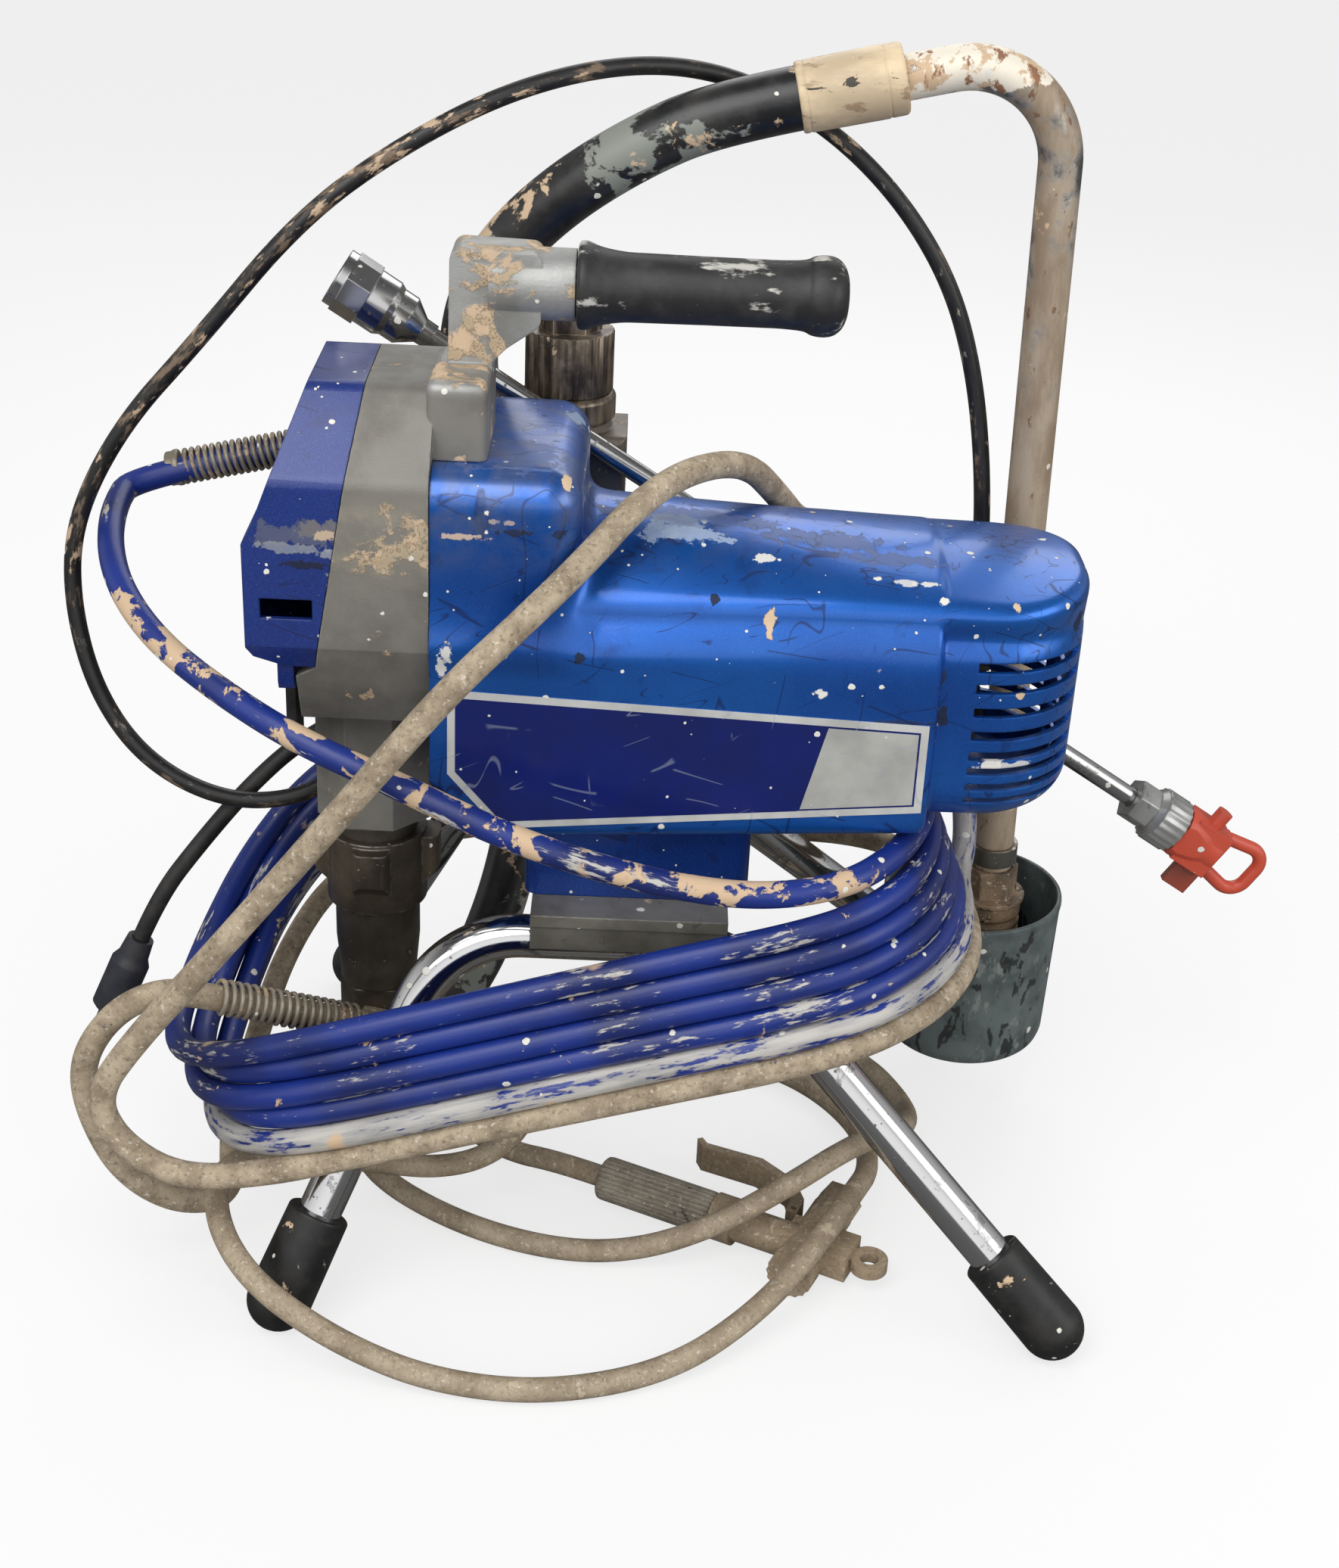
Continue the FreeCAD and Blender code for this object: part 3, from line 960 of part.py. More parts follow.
def wound(name, edges, radius, sides):
    """A wound hose of a many-sided section whose area is that of the round one; prints its least gap."""
    wire = Part.Wire(edges)
    first = edges[0]
    start = first.valueAt(first.FirstParameter)
    aim = first.tangentAt(first.FirstParameter)
    across = radius * math.sqrt(2 * math.pi / (sides * math.sin(2 * math.pi / sides)))
    outline = []
    for i in range(sides + 1):
        angle = 2 * math.pi * i / sides
        outline.append(V(across * math.cos(angle), across * math.sin(angle), 0))
    section = Part.makePolygon(outline)
    section.Placement = FreeCAD.Placement(start, FreeCAD.Rotation(Z, aim))
    solid = wire.makePipeShell([Part.Wire(section)], True, False)
    points = wire.discretize(Distance=6.0)
    least = 1e9
    for i, a in enumerate(points):
        for b in points[i + 12:]:
            least = min(least, (a - b).Length)
    area = math.pi * radius ** 2
    print(name, "length %.0f" % wire.Length, "volume share %.3f" % (solid.Volume / (area * wire.Length)),
          "least gap %.2f" % (least - 2 * radius))
    return solid


coil_edges, coil_spots = winding(0, len(COIL_STATIONS) * COIL_TURNS, 0)
parts["hose_coil"] = wound("hose_coil", coil_edges, HOSE_R, COIL_SECTION_SIDES)
tail_edges, tail_spots = winding(4, 9, COIL_TURNS)
parts["tail_coil"] = wound("tail_coil", tail_edges, HOSE_R, COIL_SECTION_SIDES)
coil_in, coil_out = coil_spots[0], coil_spots[-1]
tail_in, tail_out = tail_spots[0], tail_spots[-1]


def spring(start, end, turns):
    """A wire wound about a straight hose, as half turns of two arcs each."""
    axis = (end - start).normalize()
    side = axis.cross(Z).normalize()
    up_side = side.cross(axis)
    pitch = (end - start).Length / turns
    spots = []
    for i in range(2 * turns + 1):
        angle = math.pi * i
        ring = side * math.cos(angle) + up_side * math.sin(angle)
        turn = side * -math.sin(angle) + up_side * math.cos(angle)
        heading = (turn * (2 * math.pi * SPRING_R) + axis * pitch).normalize()
        spots.append((start + axis * (pitch * i / 2) + ring * SPRING_R, heading))
    edges = []
    for (a, aim_a), (b, aim_b) in zip(spots, spots[1:]):
        edges += biarc(a, aim_a, b, aim_b)[0]
    return wound("spring", edges, SPRING_WIRE_R, 4)


cord("hose_lead", [outlet_end, outlet_end + lead_aim * 81, (-268, 57, 327), (-263, 22, 320), (-252, -4, 309),
                   (-232, -28, 297), (-203, -50, 286), (-166, -75, 276), (-120, -86, 261), (-68, -97, 242),
                   (-15, -98, 227), (32, -97, 220), (72, -86, 221), (99, -58, 224), coil_in[0] - coil_in[1] * 26, coil_in[0]],
     HOSE_R)
cord("hose_run", [coil_out[0], coil_out[0] + coil_out[1] * 26, (147, 56, 173), (143, 86, 204), (137, 104, 252),
                  (134, 108, 300), (110, 103, 334), (72, 90, 343), (42, 72, 349), (20, 45, 366), (4, 12, 377),
                  (-12, -24, 374), (-36, -56, 362), (-66, -78, 340), (-96, -94, 314), (-130, -104, 274),
                  (-161, -108, 235), (-200, -108, 185), (-236, -108, 140), (-254, -110, 112), (-244, -114, 90),
                  (-216, -120, 76), tail_in[0] - tail_in[1] * 28, tail_in[0]], HOSE_R)
GUARD_START = V(-204, -76, 145)
GUARD_END = V(-143, -55, 120)
guard_aim = (GUARD_END - GUARD_START).normalize()
cord("hose_tail", [tail_out[0], tail_out[0] + tail_out[1] * 22, (-204, -68, 26), (-228, -84, 34), (-250, -92, 58),
                   (-262, -93, 90), (-264, -93, 118), (-250, -91, 142), (-232, -86, 152), GUARD_START - guard_aim * 13, GUARD_END],
     HOSE_R)
tail_spring = spring(GUARD_START, GUARD_END - guard_aim * 1.4, 18)
coupling = hexagon(15.0, 12, GUARD_END, guard_aim).fuse(rod(6.5, GUARD_END + guard_aim * 11, GUARD_END + guard_aim * 21))
parts["tail_guard"] = group([tail_spring, merged(coupling)])
lead_spring = spring(outlet_end + lead_aim * 1.4, outlet_end + lead_aim * 57, 17)
lead_collar = pipe_between(8.6, HOSE_R + FIT, outlet_end + lead_aim * 58.3, outlet_end + lead_aim * 64)
parts["lead_guard"] = group([lead_spring, lead_collar])
whip_start = GUARD_END + guard_aim * 21
cord("whip_hose", [whip_start, whip_start + guard_aim * 26, (-77, -33, 94), (-64, -29, 73), (-67, -30, 48),
                   (-84, -35, 31), (-108, -42, 28), (-136, -46, 33), (-164, -50, 39), (-190, -56, 44), (-207, -72, 47), (-206, -102, 48),
                   (-193, -132, 45), (-172, -151, 36), (-138, -159, 17), (-98, -167, 6), (-48, -172, 6),
                   (6, -156, 7), (46, -126, 17), (74, -94, 31), (94, -55, 33), (106, -18, 19), (107, 30, 7),
                   (86, 68, 6), (54, 92, 6), (8, 102, 6), (-50, 98, 6), (-104, 80, 6), (-142, 50, 6),
                   (-156, 14, 6), (-142, -22, 6), (-98, -56, 6), (-50, -74, 6), (-10, -77, 10), (28, -74, 25),
                   (62, -64, 43), (90, -42, 49), (113, -12, 38), (130, 22, 19), (130, 60, 6), (114, 94, 6),
                   (80, 122, 6), (34, 138, 6), (-18, 136, 7), (-66, 120, 16), (-100, 92, 21), (-114, 56, 16),
                   (-102, 22, 8), (-76, 0, 8), GUN_START - GUN_AIM * 25, GUN_START], HOSE_R - 0.5)

drain_end = V(FILTER_X - 18, FILTER_Y, MANIFOLD_Z[0] - 8)
cord("drain_tube", [drain_end, drain_end - Z * 27, (-84, 90, 262), (-106, 70, 243), (-134, 50, 226), (-156, 34, 208),
                    (-181, 20, 196), (-216, 15, 196), (-252, 18, 214), (-275, 25, 246), (-285, 33, 288),
                    (-282, 38, 327), (-258, 40, 372), (-222, 43, 412), (-177, 48, 466),
                    (-133, 58, 498), (-83, 76, 522), (-31, 98, 531), (14, 111, 524), (56, 112, 503),
                    (90, 107, 474), (116, 103, 438), (131, 101, 398), (140, 98, 352), (144, 95, 306),
                    (147, 92, 252)], DRAIN_R)
cord("power_cord", [gland_start - X * 26, gland_start - X * 48, (-96, 92, 245), (-128, 70, 238), (-158, 50, 229),
                    (-184, 37, 217), (-207, 28, 196), (-229, 19, 170), (-248, 11, 145), PLUG_TOP], CORD_R)
plug_aim = (PLUG_TOP - V(-248, 11, 145)).normalize()
plug_profile = [(0, CORD_R + FIT), (0, 6.5), (10, 7.5), (14, PLUG_R), (PLUG_LENGTH, PLUG_R), (PLUG_LENGTH + 2, PLUG_R - 2),
                (PLUG_LENGTH + 2, 0), (2, 0), (2, CORD_R + FIT)]
plug = turned(plug_profile, PLUG_TOP, plug_aim)
for spread_y in (-5, 5):
    pin = towards(box((-0.8, 0.8), (spread_y - 2.4, spread_y + 2.4), (PLUG_LENGTH + 1, PLUG_LENGTH + 18)), PLUG_TOP, plug_aim)
    plug = plug.fuse(pin)
plug = plug.fuse(rod(2.2, PLUG_TOP + plug_aim * (PLUG_LENGTH + 1) + X * 5, PLUG_TOP + plug_aim * (PLUG_LENGTH + 20) + X * 5))
parts["power_plug"] = merged(plug)

# Spray gun, lying on its side on the floor: u runs up the grip, v towards the nozzle, and Z is the floor's
gun_frame = FreeCAD.Matrix(GUN_AIM.x, -GUN_AIM.y, 0, GUN_START.x,
                           GUN_AIM.y, GUN_AIM.x, 0, GUN_START.y,
                           0, 0, 1, GUN_START.z,
                           0, 0, 0, 1)


def on_floor(shape):
    """Lay a shape that is made along the gun's own axes in its place."""
    return shape.transformed(gun_frame, True)


grip_outline = [(0.3, 0), (0.3, 8)]
for i in range(9):
    ridge = 4 + i * 6.2
    grip_outline += [(ridge, GUN_GRIP_R - 1), (ridge + 1.2, GUN_GRIP_R), (ridge + 4.4, GUN_GRIP_R),
                     (ridge + 5.6, GUN_GRIP_R - 1)]
grip_outline += [(GUN_GRIP_LENGTH, GUN_GRIP_R - 1), (GUN_GRIP_LENGTH, 0)]
parts["gun_grip"] = on_floor(turned(grip_outline, V(0, 0, 0), X))
gun_body = rod(GUN_GRIP_R + 0.6, V(GUN_GRIP_LENGTH, 0, 0), V(GUN_GRIP_LENGTH + 12, 0, 0))
gun_body = gun_body.fuse(rod(9.0, V(GUN_GRIP_LENGTH + 10, 0, 0), V(BARREL_U, 0, 0)))
gun_body = gun_body.fuse(rod(BARREL_R, V(BARREL_U, -12, 0), V(BARREL_U, 30, 0)))
gun_body = gun_body.fuse(box((BARREL_U - 12, BARREL_U + 22), (-8, 12), (-7, 7)))
gun_body = gun_body.fuse(hexagon(19.0, 12, V(BARREL_U, 30, 0), Y))
ring = pipe_between(9.0, 4.5, V(BARREL_U + 30, 3, -3), V(BARREL_U + 30, 3, 3))
gun_body = gun_body.fuse(ring)
gun_cap = towards(knurled(11.5, 0.8, 16, 13), V(BARREL_U, -12.0 - FIT, 0), V(0, -1, 0))
parts["gun_body"] = group([on_floor(merged(gun_body)), on_floor(gun_cap)])
trigger_outline = [(BARREL_U - 18, 12.5), (BARREL_U - 12, 12.5), (BARREL_U - 13, 24), (BARREL_U - 23, 36), (BARREL_U - 44, 44),
                   (BARREL_U - 74, 42), (BARREL_U - 78, 45), (BARREL_U - 80, 43), (BARREL_U - 75, 38),
                   (BARREL_U - 45, 39), (BARREL_U - 26, 32), (BARREL_U - 19, 22)]
trigger = prism(trigger_outline, "z", -TRIGGER_HEIGHT / 2, TRIGGER_HEIGHT / 2)
trigger = trigger.cut(rod(1.5 + FIT, V(BARREL_U - 15, 15.5, -20), V(BARREL_U - 15, 15.5, 20)))
parts["gun_trigger"] = on_floor(trigger)

# Write each piece, moved so that the origin is under the middle of the machine
CORD_NODES = ["lead_guard", "hose_lead", "hose_coil", "hose_run", "tail_coil", "hose_tail", "tail_guard",
              "whip_hose", "drain_tube", "power_cord", "power_plug"]
low = V(1e9, 1e9, 1e9)
high = V(-1e9, -1e9, -1e9)
for name, shape in parts.items():
    if name not in CORD_NODES:
        b = shape.optimalBoundingBox(False)
        low = V(min(low.x, b.XMin), min(low.y, b.YMin), min(low.z, b.ZMin))
        high = V(max(high.x, b.XMax), max(high.y, b.YMax), max(high.z, b.ZMax))
shift = V(-(low.x + high.x) / 2, -(low.y + high.y) / 2, -low.z)
print("box", [round(v, 2) for v in (high - low)], "shift", [round(v, 3) for v in shift])
os.makedirs("parts", exist_ok=True)
for name, shape in parts.items():
    moved = shape.copy()
    moved.translate(shift)
    moved.exportStep("parts/%s.step" % name)
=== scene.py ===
"""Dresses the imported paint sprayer: shell, castings, hoses, gun and extension, with their worn finishes."""

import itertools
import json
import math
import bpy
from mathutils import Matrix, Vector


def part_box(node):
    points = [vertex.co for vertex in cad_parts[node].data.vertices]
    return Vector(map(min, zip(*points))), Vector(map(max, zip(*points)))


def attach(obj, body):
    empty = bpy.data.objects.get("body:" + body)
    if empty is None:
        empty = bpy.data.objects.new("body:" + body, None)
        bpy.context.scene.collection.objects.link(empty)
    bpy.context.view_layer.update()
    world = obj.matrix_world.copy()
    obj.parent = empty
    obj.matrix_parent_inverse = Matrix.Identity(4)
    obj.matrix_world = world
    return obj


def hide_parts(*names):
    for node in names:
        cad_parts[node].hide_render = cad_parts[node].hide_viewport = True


bl_info = {
    "name": "Paint sprayer",
    "version": (1, 0, 0),
    "blender": (4, 5, 0),
    "location": "3D View > Sidebar > Sprayer",
    "description": "Builds the visible pieces of an airless paint sprayer around its packed frame",
    "category": "Object",
}

import bmesh
import bpy
import numpy as np
from mathutils import Matrix, Vector

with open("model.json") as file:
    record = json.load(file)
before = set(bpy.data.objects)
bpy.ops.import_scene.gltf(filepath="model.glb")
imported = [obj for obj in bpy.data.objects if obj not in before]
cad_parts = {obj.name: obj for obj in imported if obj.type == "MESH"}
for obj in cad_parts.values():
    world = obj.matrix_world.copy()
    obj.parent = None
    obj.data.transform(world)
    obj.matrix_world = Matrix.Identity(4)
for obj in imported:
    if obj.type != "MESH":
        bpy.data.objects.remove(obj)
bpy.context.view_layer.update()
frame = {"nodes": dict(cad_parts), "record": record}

MM = 0.001
# The shop drawing's origin in the frame: the grip lies along the drawing's X axis and starts at GRIP_START
GRIP_START = -53.7
GRIP_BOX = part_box("handle_grip")
ORIGIN = np.array([GRIP_BOX[0][0] - GRIP_START * MM, (GRIP_BOX[0][1] + GRIP_BOX[1][1]) / 2, 0.0])


def place(points):
    """Points of the shop drawing, in millimetres, as points of the frame in metres."""
    return np.asarray(points, dtype=float) * MM + ORIGIN


def srgb(red, green, blue):
    """A linear colour from the eight-bit numbers of a colour picker."""
    values = np.array([red, green, blue]) / 255.0
    linear = np.where(values <= 0.04045, values / 12.92, ((values + 0.055) / 1.055) ** 2.4)
    return (float(linear[0]), float(linear[1]), float(linear[2]))


def unit(vector):
    vector = np.asarray(vector, dtype=float)
    return vector / np.linalg.norm(vector)


# The sizes and colours that a user would change


def length_setting(name, value, description):
    """A length in metres from a value in millimetres."""
    return bpy.props.FloatProperty(name=name, default=value * MM, unit="LENGTH", precision=4,
                                   description=description)


def colour_setting(name, colour, description):
    return bpy.props.FloatVectorProperty(name=name, default=colour, size=3, min=0.0, max=1.0, subtype="COLOR",
                                         description=description)


class SprayerSizes(bpy.types.PropertyGroup):
    hose: length_setting("Hose", 12.0, "Outside diameter of the spray hose")
    whip: length_setting("Whip hose", 11.0, "Outside diameter of the thin hose at the gun")
    suction: length_setting("Suction hose", 28.0, "Outside diameter of the suction hose")
    drain: length_setting("Drain tube", 8.0, "Outside diameter of the drain tube")
    cord: length_setting("Power cord", 8.4, "Outside diameter of the power cord")
    shell: length_setting("Shell", 2.6, "Wall of the motor shroud")


class SprayerColours(bpy.types.PropertyGroup):
    shroud: colour_setting("Shroud", srgb(26, 106, 200), "Metallic blue of the motor shroud")
    cover: colour_setting("Cover", srgb(20, 46, 124), "Blue of the moulded front cover")
    casting: colour_setting("Casting", srgb(132, 129, 122), "Paint of the drive housing")
    hose_blue: colour_setting("Blue hose", srgb(16, 46, 134), "Cover of the spray hose")
    hose_tan: colour_setting("Crusted hose", srgb(184, 168, 144), "Hoses under dried paint")
    splash: colour_setting("Splashes", srgb(208, 180, 148), "Dried tan paint")
    fleck: colour_setting("Flecks", srgb(226, 224, 214), "Dried white paint")
    rubber: colour_setting("Rubber", srgb(34, 34, 35), "Grip, feet and suction hose")
    cup: colour_setting("Cup", srgb(100, 110, 110), "Moulded drip cup")
    guard: colour_setting("Guard", srgb(200, 76, 52), "Moulded guard of the tip")


# Shader maths
BEVEL_SAMPLES = 4


class Field:
    """A socket of a material that is worked on with Python's own signs; each sign adds its Math node."""

    def __init__(self, paint, socket):
        self.paint = paint
        self.socket = socket

    def maths(self, operation, first, second=None):
        values = {0: first} if second is None else {0: first, 1: second}
        return self.paint.node("ShaderNodeMath", {"operation": operation}, values)

    def __add__(self, other):
        return self.maths("ADD", self, other)

    def __mul__(self, other):
        return self.maths("MULTIPLY", self, other)

    def __sub__(self, other):
        return self.maths("SUBTRACT", self, other)

    def __rsub__(self, other):
        return self.maths("SUBTRACT", other, self)

    def __abs__(self):
        return self.maths("ABSOLUTE", self)

    __radd__ = __add__
    __rmul__ = __mul__

    def most(self, other):
        return self.maths("MAXIMUM", self, other)

    def ramp(self, low, high):
        """0 below the first value, 1 above the second, and a smooth step between."""
        settings = {"interpolation_type": "SMOOTHSTEP"}
        values = {"Value": self, "From Min": low, "From Max": high}
        return self.paint.node("ShaderNodeMapRange", settings, values)


class Paint:
    """A node material under construction."""

    def __init__(self, name, world=None):
        self.material = world or bpy.data.materials.new(name)
        self.material.use_nodes = True
        self.tree = self.material.node_tree
        self.tree.nodes.clear()
        self.spot = self.node("ShaderNodeTexCoord", {}, {}, "Generated" if world else "Object")

    def node(self, kind, settings, values, output=0):
        """A node of a type, with its settings set first, then the values or links of its sockets."""
        node = self.tree.nodes.new(kind)
        for key, value in settings.items():
            setattr(node, key, value)
        for key, value in values.items():
            if isinstance(value, Field):
                self.tree.links.new(value.socket, node.inputs[key])
            else:
                node.inputs[key].default_value = value
        return None if output is None else Field(self, node.outputs[output])

    def attribute(self, name):
        return self.node("ShaderNodeUVMap", {"uv_map": name}, {})

    def stretched(self, scale, shift=(0.0, 0.0, 0.0), spot=None, turn=(0.0, 0.0, 0.0)):
        """The place on the piece, scaled by three numbers and moved."""
        values = {"Vector": spot or self.spot, "Scale": scale, "Location": shift, "Rotation": turn}
        return self.node("ShaderNodeMapping", {}, values)

    def moved(self, *shift):
        return self.stretched((1.0, 1.0, 1.0), shift)

    def noise(self, size, detail=3.0, rough=0.55, spot=None, bend=0.0):
        """Cloudy noise about a half, with blotches of a size in millimetres."""
        values = {"Vector": spot or self.spot, "Scale": 1.0 / (size * MM), "Detail": detail,
                  "Roughness": rough, "Distortion": bend}
        return self.node("ShaderNodeTexNoise", {}, values)

    def cells(self, size, spot=None, output="Distance"):
        values = {"Vector": spot or self.spot, "Scale": 1.0 / (size * MM)}
        return self.node("ShaderNodeTexVoronoi", {}, values, output)

    def vector(self, operation, first, second=None, output=0):
        values = {0: first} if second is None else {0: first, 1: second}
        return self.node("ShaderNodeVectorMath", {"operation": operation}, values, output)

    def part_of(self, whole, index):
        """One of the three numbers of a colour or a place."""
        return self.node("ShaderNodeSeparateXYZ", {}, {0: whole}, index)

    def blend(self, share, first, second):
        """One colour goes over into another by a share."""
        node = self.tree.nodes.new("ShaderNodeMix")
        node.data_type = "RGBA"
        for socket, value in ((node.inputs[0], share), (node.inputs[6], first), (node.inputs[7], second)):
            if isinstance(value, Field):
                self.tree.links.new(value.socket, socket)
            else:
                socket.default_value = value if isinstance(value, float) else (*value, 1.0)
        return Field(self, node.outputs[2])

    def rounded(self, radius):
        """The way the surface would face if its edges were rounded to a radius."""
        return self.node("ShaderNodeBevel", {"samples": BEVEL_SAMPLES}, {"Radius": radius * MM})

    def edges(self, radius):
        """Near 1 on sharp outer edges: where the surface leans away from its own rounded form."""
        flat = self.node("ShaderNodeNewGeometry", {}, {}, "Normal")
        return 1.0 - self.vector("DOT_PRODUCT", self.rounded(radius), flat, "Value")

    def bump(self, height, depth, normal=None):
        values = {"Height": height, "Distance": depth * MM, "Strength": 1.0}
        if normal is not None:
            values["Normal"] = normal
        return self.node("ShaderNodeBump", {}, values)

    def finish(self, colour, rough, metal, normal, coat=0.0, coat_rough=0.1):
        values = {"Base Color": colour, "Roughness": rough, "Metallic": metal, "Normal": normal,
                  "Coat Weight": coat, "Coat Roughness": coat_rough}
        shader = self.node("ShaderNodeBsdfPrincipled", {}, values)
        self.node("ShaderNodeOutputMaterial", {}, {"Surface": shader}, None)
        return self.material


def colours():
    return bpy.context.scene.sprayer_colours


def sizes():
    return bpy.context.scene.sprayer_sizes


def flecks(paint, size, amount, spot=None, ragged=0.2):
    """Small drops: cells of a size, of which a share holds a drop, each with a width and rim of its own."""
    near = paint.cells(size, spot)
    chance = paint.part_of(paint.cells(size, spot, "Color"), 0)
    held = chance.ramp(1.0 - amount, 1.0)
    wobble = (paint.noise(size * 0.3, 3.0, 0.6, spot) - 0.5) * ragged
    return (held * 0.24 - near - wobble + 0.02).ramp(0.0, 0.04) * held.ramp(0.0, 0.1)


def mark_about(paint, spot, reach, cloud):
    """A mark about a point of the shop drawing that reaches so far along X, Y and Z, with a ragged rim."""
    away = paint.vector("SUBTRACT", paint.spot, tuple(place(spot)))
    away = paint.vector("DIVIDE", away, tuple(part * MM for part in reach))
    far = paint.vector("LENGTH", away, output="Value")
    return (cloud * 3.4 - 0.75 - far).ramp(0.0, 0.16)


def marks_over(paint, marks, colour):
    """Marks in a table of (point, reach, colour, share) over a colour, and where they are."""
    cloud = paint.noise(6.0, 7.0, 0.68)
    spots = None
    for spot, reach, tint, share in marks:
        mark = mark_about(paint, spot, reach, cloud) * share
        colour = paint.blend(mark, colour, tint)
        spots = mark if spots is None else spots.most(mark)
    return colour, spots


def splotches(paint, size, cover, spot=None, detail=6.0):
    """Dried blobs with ragged rims: cloudy noise above a level, so that about a share is covered."""
    cloud = paint.noise(size, detail, 0.62, spot, 0.35)
    level = 0.5 + 0.19 * (1.0 - 2.0 * cover) if cover > 0.1 else 0.74 - 0.9 * cover
    return cloud.ramp(level, level + 0.025)


def flecked(paint, colour, *drops):
    """A colour with white flecks on it, and where they are."""
    white = flecks(paint, *drops)
    return paint.blend(white, colour, colours().fleck), white


def splashed(paint, colour, size, cover, spot=None, detail=8.0):
    """A colour with tan splashes on it, and where they are."""
    tan = splotches(paint, size, cover, spot, detail)
    return paint.blend(tan, colour, colours().splash), tan


def scratches(paint, amount, size=38.0, turn=0.4):
    """Thin crossing lines where stretched noise passes its middle, broken up by a coarser noise."""
    lines = None
    for k, angle in enumerate((turn, turn + 1.1, turn - 0.7)):
        spot = paint.stretched((1.0, 1.0, 1.0), (0.31 * k, 0.17 * k, 0.23 * k), turn=(0.0, angle, 0.0))
        spot = paint.stretched((0.16, 1.0, 1.0), spot=spot)
        wave = paint.noise(size * (0.5 + 0.3 * k) * 0.5, 1.0, 0.4, spot)
        line = 1.0 - abs(wave - 0.5).ramp(0.002, 0.012)
        broken = paint.noise(size * 0.7, 2.0, 0.5, paint.moved(k * 0.7, 0.2, 0.1))
        line = line * broken.ramp(0.62 - amount, 0.66 - amount)
        lines = line if lines is None else lines.most(line)
    return lines


# Finishes


WHITE = srgb(226, 224, 214)
TAN = srgb(214, 188, 156)
BLACK = srgb(14, 16, 22)
SCUFF = srgb(160, 178, 204)
DUST = srgb(100, 108, 136)
# Marks at places of their own: point, reach along X, Y and Z, colour and share
SHROUD_MARKS = (
    ((-15, -21, 357), (9, 9, 6), SCUFF, 0.8), ((-1, -22, 356), (17, 6, 5), SCUFF, 0.85),
    ((-7, -14, 358), (16, 6, 5), SCUFF, 0.7), ((31, -33, 350.5), (4.5, 2.6, 3), WHITE, 0.9),
    ((91, -41, 346), (7, 1.8, 3), WHITE, 0.8), ((100, -41, 345), (5, 2, 3), WHITE, 0.9),
    ((79, -40, 346.5), (2.4, 1.6, 3), WHITE, 1.0), ((143, -54, 266.7), (16, 6, 2.2), WHITE, 0.8),
    ((134, -54, 268), (5, 6, 3), WHITE, 0.9), ((-102.5, -62, 314), (2.8, 4, 5), WHITE, 0.9),
    ((-105, -62, 308), (2.4, 4, 5), WHITE, 0.9), ((-53.4, 31, 388), (5, 8, 6), SCUFF, 0.8),
    ((33, -55, 333), (2.8, 6, 4.8), TAN, 1.0), ((33.6, -56, 327), (2, 6, 4.8), TAN, 1.0),
    ((138, -50, 341), (2.2, 3.4, 3.6), TAN, 1.0), ((-54, -50, 387), (2.4, 6, 4), TAN, 1.0),
    ((-97, -60, 365), (9, 4, 1.6), TAN, 0.8), ((-78, -58, 372), (8, 5, 1.6), TAN, 0.6),
    ((86, -26, 350), (26, 5, 4), DUST, 0.55), ((60, -16, 353.6), (34, 8, 5), DUST, 0.6),
    ((0, -8, 359), (40, 9, 5), DUST, 0.5), ((-78, -30, 391), (26, 20, 4), DUST, 0.45),
    ((9.4, -52, 338), (2.4, 3.4, 3), BLACK, 0.9), ((169, -30, 328), (3, 6, 6), BLACK, 0.9),
    ((110, -56, 291), (2.6, 3.5, 5), BLACK, 0.9), ((109.6, -59, 310), (1.8, 3, 5), BLACK, 0.8),
    ((-56, -58, 368), (3.4, 4, 2.4), BLACK, 0.8), ((-74, -60, 368), (9, 4, 1.8), BLACK, 0.85),
    ((-46, -62, 313), (2.4, 3, 2.6), BLACK, 0.9), ((95, -62, 289.8), (14, 3, 1.0), BLACK, 0.7),
)


